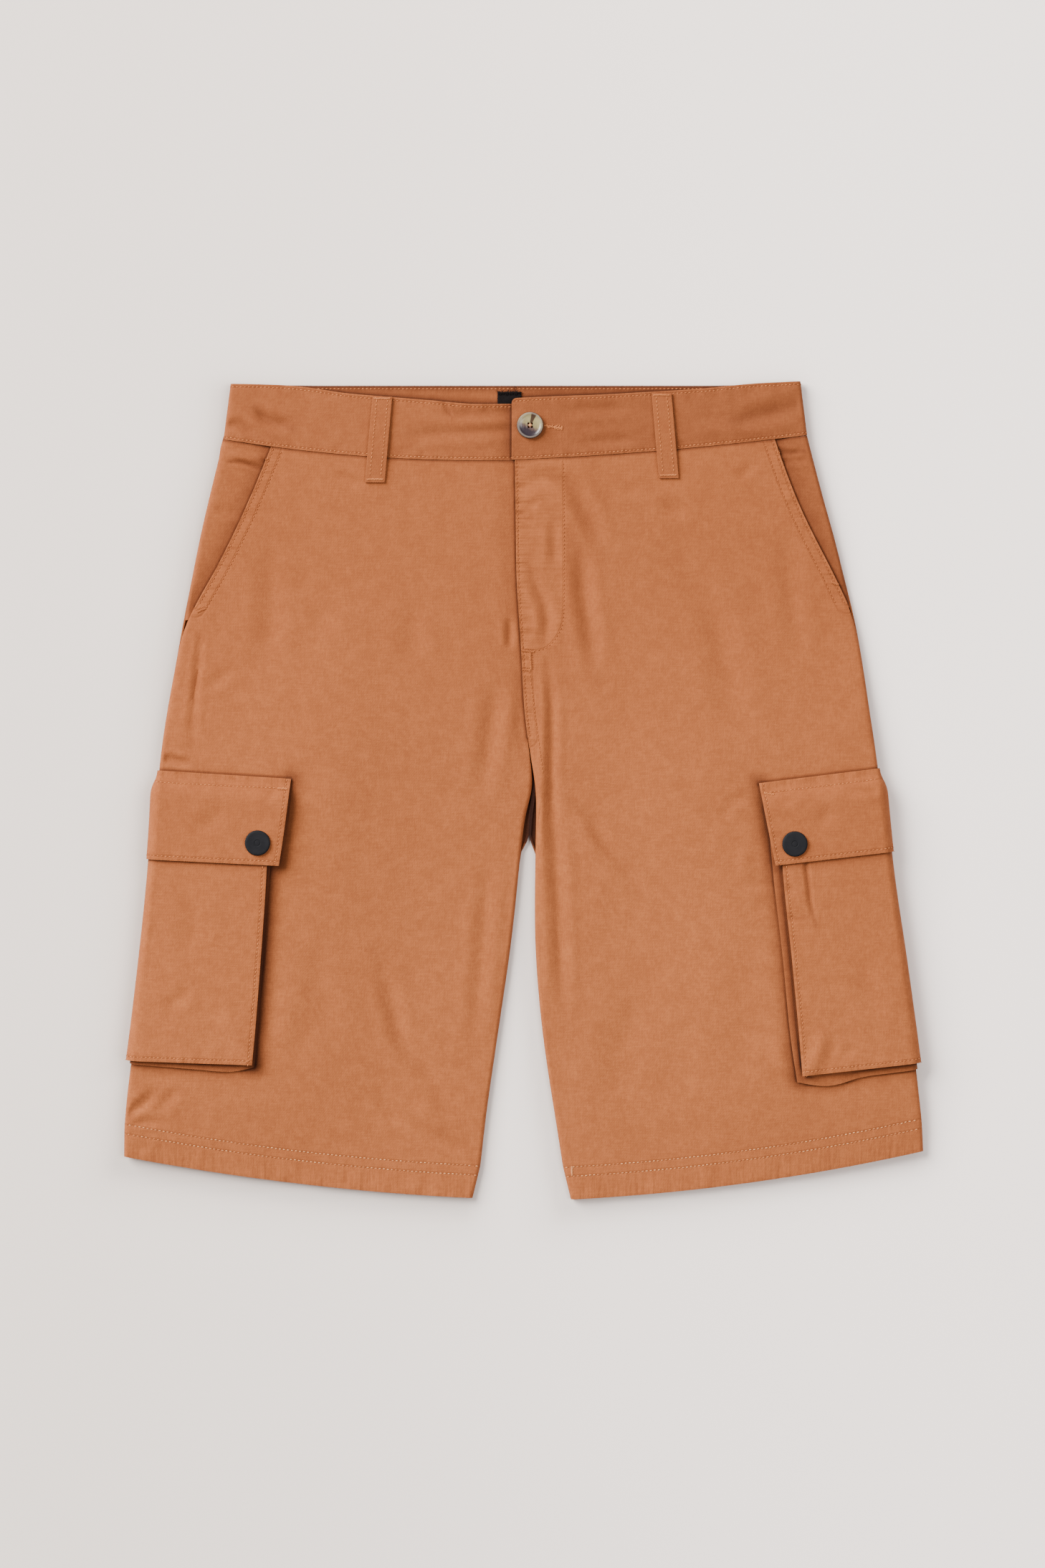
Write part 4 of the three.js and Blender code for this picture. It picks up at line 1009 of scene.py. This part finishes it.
for side in ("right", "left"):
    right = side == "right"
    flyEdgeShade = edgesOver("left", ("front", "fly", 3.2, 0.5)) if right else []
    tabEdgeShade = edgesOver("left", ("waistband", "end", 6, 0.6)) if right else []
    # base paints shade over a whole piece: the bellows, both facings (the left one most) and the left band.
    setUnder(pieces["cargo_bellows_" + side], edgesOver(
        side, ("cargo_pouch", "inner", 4.6, 0.62), ("cargo_pouch", "inner", 2.0, 0.6),
        ("cargo_pouch", "lower", 4.0, 0.8), ("cargo_flap", "lower", 5, 0.6)), base=0.12)
    setUnder(pieces["front_" + side], edgesOver(
        side, ("cargo_pouch", "inner", 7, 0.3), ("cargo_bellows", "inner", 6, 0.4),
        ("cargo_bellows", "lower", 4.5, 0.45), ("cargo_flap", "inner", 6.4, 0.5),
        ("cargo_flap", "upper", 2.2, 0.45)) + flyEdgeShade
             + edgesOver(side, ("waistband", "lower", 2.2, 0.3)) + foldShade(("front",)))
    setUnder(pieces["hip_facing_" + side], edgesOver(
        side, ("front", "slant", 8, 0.5), ("waistband", "lower", 2.4, 0.3)) + foldShade(("facing",)),
             base=0.06 if right else 0.3)
    setUnder(pieces["cargo_pouch_" + side], edgesOver(
        side, ("cargo_flap", "lower", 3.6, 0.42)) + foldShade(("pocket",)))
    setUnder(pieces["waistband_" + side], edgesOver(
        side, ("waistband", "upper", 4.4, 0.8, bandMiddle)) + tabEdgeShade + foldShade(("band",)),
             base=0.0 if right else 0.2)
forkShadeLine = {"line": np.array([(6.4, 9, 0), (6.0, -8, 0), (5.2, -22, 0), (4.6, -36, 0)], float),
            "above": 1.2}  # painted shade in the gap below the crotch, on the inner skin alone
for node, piece in pieces.items():
    if node in ("back_right", "back_left"):
        setUnder(piece, [(forkShadeLine, 11, 0.97), (forkShadeLine, 16, 0.7)])
    elif "contactShade" not in piece.data.attributes:
        setUnder(piece, [])
print("cloth made:", len(pieces), "pieces,", sum(len(p.data.polygons) for p in pieces.values()), "faces")


# Sewing on each piece

def sewAll(group, node, name, insets, **more):
    tree = trees[node]
    for chain in rimLines[node].get(name, []):
        for inset in insets:
            sewChain(group, tree, chain, inset, **more)


trees = {node: treeOf(piece) for node, piece in pieces.items()}
for side in ("right", "left"):
    sewAll("hem", "front_" + side, "hem", (16.8, 23.5), pitch=2.95)
    sewAll("hem", "back_" + side, "hem", (16.8, 23.5), pitch=2.95)
    sewAll("front", "front_" + side, "slant", (2.0, 8.0))
    sewAll("waist", "waistband_" + side, "upper", (2.2,))
    sewAll("waist", "waistband_" + side, "lower", (1.8,))
    sewAll("waist", "waistband_" + side, "inside", (2.2,))
    sewAll("pockets", "cargo_pouch_" + side, "inner", (3.0,))
    sewAll("pockets", "cargo_pouch_" + side, "lower", (3.0,))
    sewAll("pockets", "cargo_flap_" + side, "inner", (3.0,))
    sewAll("pockets", "cargo_flap_" + side, "lower", (3.0,))
sewAll("front", "front_left", "fly", (1.6,))
sewAll("back", "back_left", "fly", (1.6, 7.5))
sewPath("flyCurve", trees["front_left"], flyCurve)
sewPath("pockets", trees["cargo_flap_right"], [(-264, 6.0), (-216, 3.4), (-170.5, 1.4)])
sewPath("pockets", trees["cargo_flap_left"], [(173, -1.8), (212, 2.8), (258, 8.6)])
sewPath("front", trees["front_left"], [(4.2, 87), (7.6, 60), (11.2, 33), (14, 12)])

loopRows = {"inset": 3.9, "tackWidth": 11.5}
loopLines = {
    "belt_loop_front_right": [(-101.5, 281), (-106.6, 224)],
    "belt_loop_front_left": [(99.1, 283.5), (104.2, 227)],
    "belt_loop_back_right": [(-120, 288), (-122, 231.5)],
    "belt_loop_back_centre": [(-5.6, 288), (-5.6, 231.5)],
    "belt_loop_back_left": [(110, 288), (112, 231.5)],
}
for node, (top, end) in loopLines.items():
    face = 1 if "front" in node else -1
    group = "waist" if face > 0 else "back"
    for shift in (-loopRows["inset"], loopRows["inset"]):
        path = [(top[0] + shift, top[1]), ((top[0] + end[0]) / 2 + shift, (top[1] + end[1]) / 2),
                (end[0] + shift, end[1])]
        sewPath(group, trees[node], path, face=face)
    half = loopRows["tackWidth"] / 2
    for x, y in ((top[0], top[1] + 0.4), (end[0], end[1] - 0.6)):
        barTack(group, trees[node], (x - half, y), (x + half, y), width=1.5, face=face)

# Short close bars where a seam takes strain
tacks = [
    ("front", "front_left", (-1.2, 100.4), (7.6, 99.6), 2.0),
    ("front", "front_left", (4.6, 99), (5.4, 87), 1.8),
    ("front", "front_left", (-0.8, 86.6), (5.0, 86.4), 1.6),
    ("front", "front_right", (-183.6, 238.4), (-191.8, 234.4), 1.8),
    ("front", "front_right", (-234.6, 128.2), (-228.6, 130.8), 1.8),
    ("front", "front_left", (182.6, 243.2), (190.2, 239.4), 1.8),
    ("front", "front_left", (227.4, 147.6), (221.2, 150), 1.8),
    ("pockets", "cargo_flap_right", (-169.6, 1.2), (-176.4, 1.6), 1.6),
    ("pockets", "cargo_flap_left", (172.6, -1.9), (179.4, -2.8), 1.6),
    ("hem", "front_left", (34.6, -270.6), (34.9, -277), 1.5),
]
for group, node, start, end, width in tacks:
    barTack(group, trees[node], start, end, width=width)

# Loose ends: place, the way they point, and length. The buttonhole's end is frayed, and the label's top edge.
buttonhole = [(14.9, 262.2), (21.0, 261.0), (27.4, 260.3)]
frayed = [(20.6, 261.8, 52, 3.4), (22.4, 260.2, -58, 3.6), (23.4, 261.8, 24, 4.2), (24.2, 259.6, -36, 3.2),
          (25.6, 261.6, 66, 2.8), (26.6, 259.8, 12, 3.6), (18.2, 260.6, -18, 3.0), (16.6, 262.6, 20, 2.6)]


def looseEnd(group, tree, x, y, angle, length, height=30.0):
    spot, normal, _, _ = tree.ray_cast(Vector((x, y, height)) * mm, Vector((0, 0, -1)))
    if spot is not None:
        turn = math.radians(angle)
        rows.setdefault(group, []).append({"at": np.array(spot) / mm + np.array([0, 0, 0.12]),
                                           "along": np.array([math.cos(turn), math.sin(turn), 0.0]),
                                           "up": np.array([0, 0, 1.0]), "size": length})


for start, end in zip(buttonhole, buttonhole[1:]):
    barTack("buttonhole", trees["waistband_left"], start, end, width=1.5, pitch=0.5)
barTack("buttonhole", trees["waistband_left"], (27.6, 259.0), (27.6, 261.8), width=1.5, pitch=0.5)
for x, y, angle, length in frayed:
    looseEnd("buttonhole", trees["waistband_left"], x, y, angle, length)
labelLow, labelHigh = (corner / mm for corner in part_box("back_label"))
for x in np.arange(labelLow.x + 0.4, labelHigh.x, 0.55):
    looseEnd("label", trees["back_label"], x, labelHigh.y - 0.6, 90 + random.normal(0, 26),
             1.6 + 3.4 * random.random() ** 2)

stitch, hemStitch, hole = stitchModel(sewing["radius"]), stitchModel(sewing["hemRadius"]), holeModel()
for group, places in rows.items():
    finish = {"hem": "hemThread", "waist": "waistThread", "buttonhole": "buttonThread", "label": "label",
              "pockets": "waistThread"}.get(group, "thread")
    threads = copies("thread_" + group, hemStitch if group == "hem" else stitch, places, paints[finish])
    made = [threads]
    # Each stitch gets a small dark disc of painted shade at its needle hole.
    if group not in ("buttonhole", "label", "flyCurve"):
        holes = [dict(p, at=p["at"] + p["along"] * sewing["holeAhead"], size=1.0)
                 for p in places if p["size"] > sewing["shortest"]]
        made.append(copies("needle_holes_" + group, hole, holes, paints["hole"]))
    for piece in made:
        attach(piece, "root")
        "label" if group == "label" else "twill"
print("sewing made:", {group: len(places) for group, places in rows.items()})


# Button and snaps, turned from a disc ring by ring

def turnedDisc(name, centre, rings, sides=64):  # rings: radius and height of each step, in millimetres
    bpy.ops.object.select_all(action="DESELECT")
    first = rings[0]
    bpy.ops.mesh.primitive_circle_add(vertices=sides, radius=first[0] * mm, fill_type="NGON",
                                      location=(centre.x, centre.y, centre.z + first[1] * mm))
    piece = bpy.context.object
    piece.name = name
    bpy.ops.object.transform_apply(location=True, rotation=True, scale=True)
    bpy.ops.object.mode_set(mode="EDIT")
    bpy.ops.mesh.select_mode(type="FACE")
    bpy.ops.mesh.select_all(action="SELECT")
    for (r1, z1), (r2, z2) in zip(rings, rings[1:]):
        bpy.ops.mesh.extrude_region_move(TRANSFORM_OT_translate={"value": (0, 0, (z2 - z1) * mm)})
        bpy.ops.transform.resize(value=(r2 / r1, r2 / r1, 1),
                                 center_override=(centre.x, centre.y, centre.z + z2 * mm))
    bpy.ops.mesh.select_all(action="SELECT")
    bpy.ops.mesh.normals_make_consistent(inside=False)
    bpy.ops.object.mode_set(mode="OBJECT")
    return piece


buttonShape = {
    "rings": [(7.2, 0), (8.6, 0.3), (9.4, 1.0), (9.6, 1.9), (9.4, 2.8), (8.9, 3.3), (8.2, 3.4), (7.6, 3.2),
              (7.0, 2.85), (6.0, 2.6), (4.0, 2.42), (2.0, 2.35)],
    "holeRadius": 0.85,
    "holeSpacing": 2.4,
}


def makeButton():
    low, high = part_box("waist_button")
    centre = Vector(((low.x + high.x) / 2, (low.y + high.y) / 2, low.z))
    button = turnedDisc("waist_button_horn", centre, buttonShape["rings"])
    half = buttonShape["holeSpacing"] / 2 * mm
    for dx, dy in ((1, 1), (1, -1), (-1, 1), (-1, -1)):
        bpy.ops.object.select_all(action="DESELECT")
        bpy.ops.mesh.primitive_cylinder_add(vertices=20, radius=buttonShape["holeRadius"] * mm, depth=8 * mm,
                                            location=(centre.x + dx * half, centre.y + dy * half, centre.z))
        drill = bpy.context.object
        applyModifier(button, "BOOLEAN", object=drill, operation="DIFFERENCE", solver="EXACT")
        bpy.data.objects.remove(drill)
    applyModifier(button, "BEVEL", limit_method="ANGLE", angle_limit=math.radians(50), width=0.12 * mm, segments=2)
    choose(button)
    bpy.ops.object.shade_smooth_by_angle(angle=math.radians(35))
    button.data.materials.append(hornPaint(centre))
    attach(button, "root")
    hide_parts("waist_button")
    makeButtonThread(centre)


def makeButtonThread(centre):  # two strands across each pair of holes, sunk into them at their ends
    top = centre / mm + Vector((0, 0, 2.42))
    half = buttonShape["holeSpacing"] / 2
    places = []
    for turn in (1, -1):
        along = np.array([1, turn, 0]) / math.sqrt(2)
        side = np.array([-along[1], along[0], 0])
        for shift in (-0.3, 0.3):
            at = np.array(top) + side * shift + np.array([0, 0, 0.12 if turn > 0 else 0.3])
            places.append({"at": at, "along": along, "up": np.array([0, 0, 1.0]), "size": half * 2.1})
    thread = copies("waist_button_thread", stitch, places, paints["hemThread"])
    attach(thread, "root")


def hornPaint(centre):
    paint = Paint("horn", Roughness=0.3, Coat_Weight=0.15, Coat_Roughness=0.2, Specular_IOR_Level=0.35)
    own = paint.places(move=tuple(-centre / mm))
    x, y, _ = paint.parts(own)
    swirl = paint.noise(own, 5.5, 3, 0.6)
    fine = paint.noise(paint.places(move=tuple(-centre / mm), stretch=(0.9, 0.16, 1)), 1, 3)
    level = (y + x * 0.31 + (swirl - 0.5) * 4.5 + (fine - 0.5) * 4.0 + 10.4) / 19.2
    base = paint.ramp(level, [(0.0, tint(0.013, 0.009, 0.014)), (0.36, tint(0.022, 0.014, 0.018)),
                              (0.47, tint(0.070, 0.042, 0.034)), (0.56, tint(0.190, 0.150, 0.066)),
                              (0.82, tint(0.250, 0.205, 0.095)), (1.0, tint(0.210, 0.165, 0.080))])
    wedge = paint.fade(paint.size(x - y * 0.37) - y * 0.2, 0.1, 0.9) * (1 - paint.fade(y, 0.6, 2.2))
    base = paint.blend(wedge * 0.95, base, tint(0.034, 0.014, 0.008))
    # Painted highlight: the raised rim is painted lighter. Painted shade: its outer edge is painted darker.
    out = paint.node("ShaderNodeMath", {"operation": "SQRT"}, [x * x + y * y])
    rim = 1 - paint.fade(out, 7.6, 8.4)
    colour = paint.blend(rim * 0.6, base, tint(0.170, 0.140, 0.115))
    colour = paint.blend(1 - paint.fade(out, 9.0, 9.5), colour, tint(0.030, 0.022, 0.020))
    paint.set("Base Color", colour)
    paint.set("Roughness", 0.2 + fine * 0.14)
    paint.relief(fine * 0.03)
    return paint.material


snapShape = {
    "rings": [(8.8, 0), (9.1, 0.25), (9.1, 1.1), (8.95, 1.5), (8.6, 1.8), (8.1, 1.98), (7.4, 2.05), (6.6, 2.0),
              (4.0, 2.02), (2.5, 2.04), (2.2, 1.86), (1.8, 1.86), (1.6, 2.05), (0.8, 2.12)],
    "above": 0.3,  # how far its base stands over the flap
}


def snapPaint():
    paint = Paint("blackSnap", Roughness=0.55, Specular_IOR_Level=0.06)
    own = paint.places()
    specks = paint.noise(own, 0.7, 3)
    cloud = paint.noise(own, 6, 2)
    paint.set("Base Color", paint.blend(cloud * 0.6 + specks * 0.3, tint(0.005, 0.005, 0.006),
                                        tint(0.014, 0.014, 0.016)))
    paint.set("Roughness", 0.5 + specks * 0.26)
    paint.relief(specks * 0.03)
    return paint.material


def makeSnap(side, material):
    node = "cargo_snap_" + side
    low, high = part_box(node)
    centre = Vector(((low.x + high.x) / 2, (low.y + high.y) / 2, low.z))
    spot = trees["cargo_flap_" + side].find_nearest(centre)[0]
    snap = turnedDisc(node + "_cap", centre, snapShape["rings"])
    points = readPoints(snap)
    points[:, 2] += max(0.0, spot.z / mm - centre.z / mm + snapShape["above"])
    writePoints(snap, points)
    choose(snap)
    bpy.ops.object.shade_smooth_by_angle(angle=math.radians(30))
    snap.data.materials.append(material)
    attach(snap, "root")
    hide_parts(node)


makeButton()
black = snapPaint()
for side in ("right", "left"):
    makeSnap(side, black)
print("button and snaps made")


# Floor, light and camera

stageSizes = {"floor": 9.0, "near": 0.44, "cells": 150,
              "floorTone": tint(0.755, 0.665, 0.60), "floorLitRight": tint(1.0, 0.90, 0.84),
              "shades": (((5, 7, 0), 9, 0.28), ((10, 12, 0), 22, 0.14)), "shadeTone": tint(0.30, 0.28, 0.28),
              "shadeX": 0.36, "shadeY": 0.37,
              "worldTone": tint(0.97, 0.975, 1.0), "worldLight": 0.35}


def makeFloor():  # closely meshed where a painted shadow of the cloth lies on it
    bpy.ops.object.select_all(action="DESELECT")
    bpy.ops.mesh.primitive_grid_add(x_subdivisions=stageSizes["cells"], y_subdivisions=stageSizes["cells"],
                                    size=2)
    floor = bpy.context.object
    floor.name = "floor"
    spread = readPoints(floor) * mm
    spread = stageSizes["near"] * spread + (stageSizes["floor"] / 2 - stageSizes["near"]) * spread**21
    writePoints(floor, spread / mm)
    whole = BVHTree.FromPolygons(*joined(pieces.values()))
    # Painted shadow: the floor is darkened near the cloth, offset below and to the left of it.
    shade = np.zeros(len(spread))
    near = (np.abs(spread[:, 0]) < stageSizes["shadeX"]) & (np.abs(spread[:, 1]) < stageSizes["shadeY"])
    for i in np.flatnonzero(near):
        for move, width, depth in stageSizes["shades"]:
            far = whole.find_nearest(Vector(spread[i]) + Vector(move) * mm)[3] / mm
            shade[i] += depth * math.exp(-((far / width) ** 2))
    writeField(floor, "shade", shade)
    paint = Paint("paleFloor", Roughness=0.8, Specular_IOR_Level=0.2)
    places = paint.places()
    x, _, _ = paint.parts(places)
    # Painted light: the floor is painted brighter towards the right.
    across = 1 - paint.fade(x + (paint.noise(places, 420, 2) - 0.5) * 120, -420, 420)
    tone = paint.blend(across, stageSizes["floorTone"], stageSizes["floorLitRight"])
    paint.set("Base Color", paint.blend(paint.field("shade"), tone, stageSizes["shadeTone"], "MULTIPLY"))
    floor.data.materials.append(paint.material)


def joined(group):  # the points and faces of several pieces together
    points, faces = [], []
    for piece in group:
        first = len(points)
        points += [v.co.copy() for v in piece.data.vertices]
        faces += [[first + v for v in face.vertices] for face in piece.data.polygons]
    return points, faces


def softLight(name, place, size, power, tone):
    light = bpy.data.lights.new(name, "AREA")
    light.shape = "SQUARE"
    light.size = size
    light.energy = power
    light.color = tone
    lamp = bpy.data.objects.new(name, light)
    bpy.context.collection.objects.link(lamp)
    lamp.location = place
    lamp.rotation_euler = (-Vector(place)).to_track_quat("-Z", "Y").to_euler()


makeFloor()
softLight("keyLight", (-4.7, 3.3, 3.6), 4.6, 1900, (1.0, 0.985, 0.965))
softLight("fillLight", (4.1, -0.3, 6.0), 4.0, 470, (1.0, 0.97, 0.97))
world = bpy.data.worlds.new("paleRoom")
world.use_nodes = True
world.node_tree.nodes["Background"].inputs["Color"].default_value = stageSizes["worldTone"]
world.node_tree.nodes["Background"].inputs["Strength"].default_value = stageSizes["worldLight"]
bpy.context.scene.world = world

photo = {"height": 2187, "scale": 0.515, "x": -0.8, "y": 4.6, "plane": 9, "lens": 85}
cameraData = bpy.data.cameras.new("camera")
cameraData.lens = photo["lens"]
cameraData.sensor_width = 36
camera = bpy.data.objects.new("camera", cameraData)
bpy.context.collection.objects.link(camera)
distance = photo["height"] * photo["scale"] / 2 / (18 / photo["lens"])
camera.location = Vector((photo["x"], photo["y"], photo["plane"] + distance)) * mm
bpy.context.scene.camera = camera
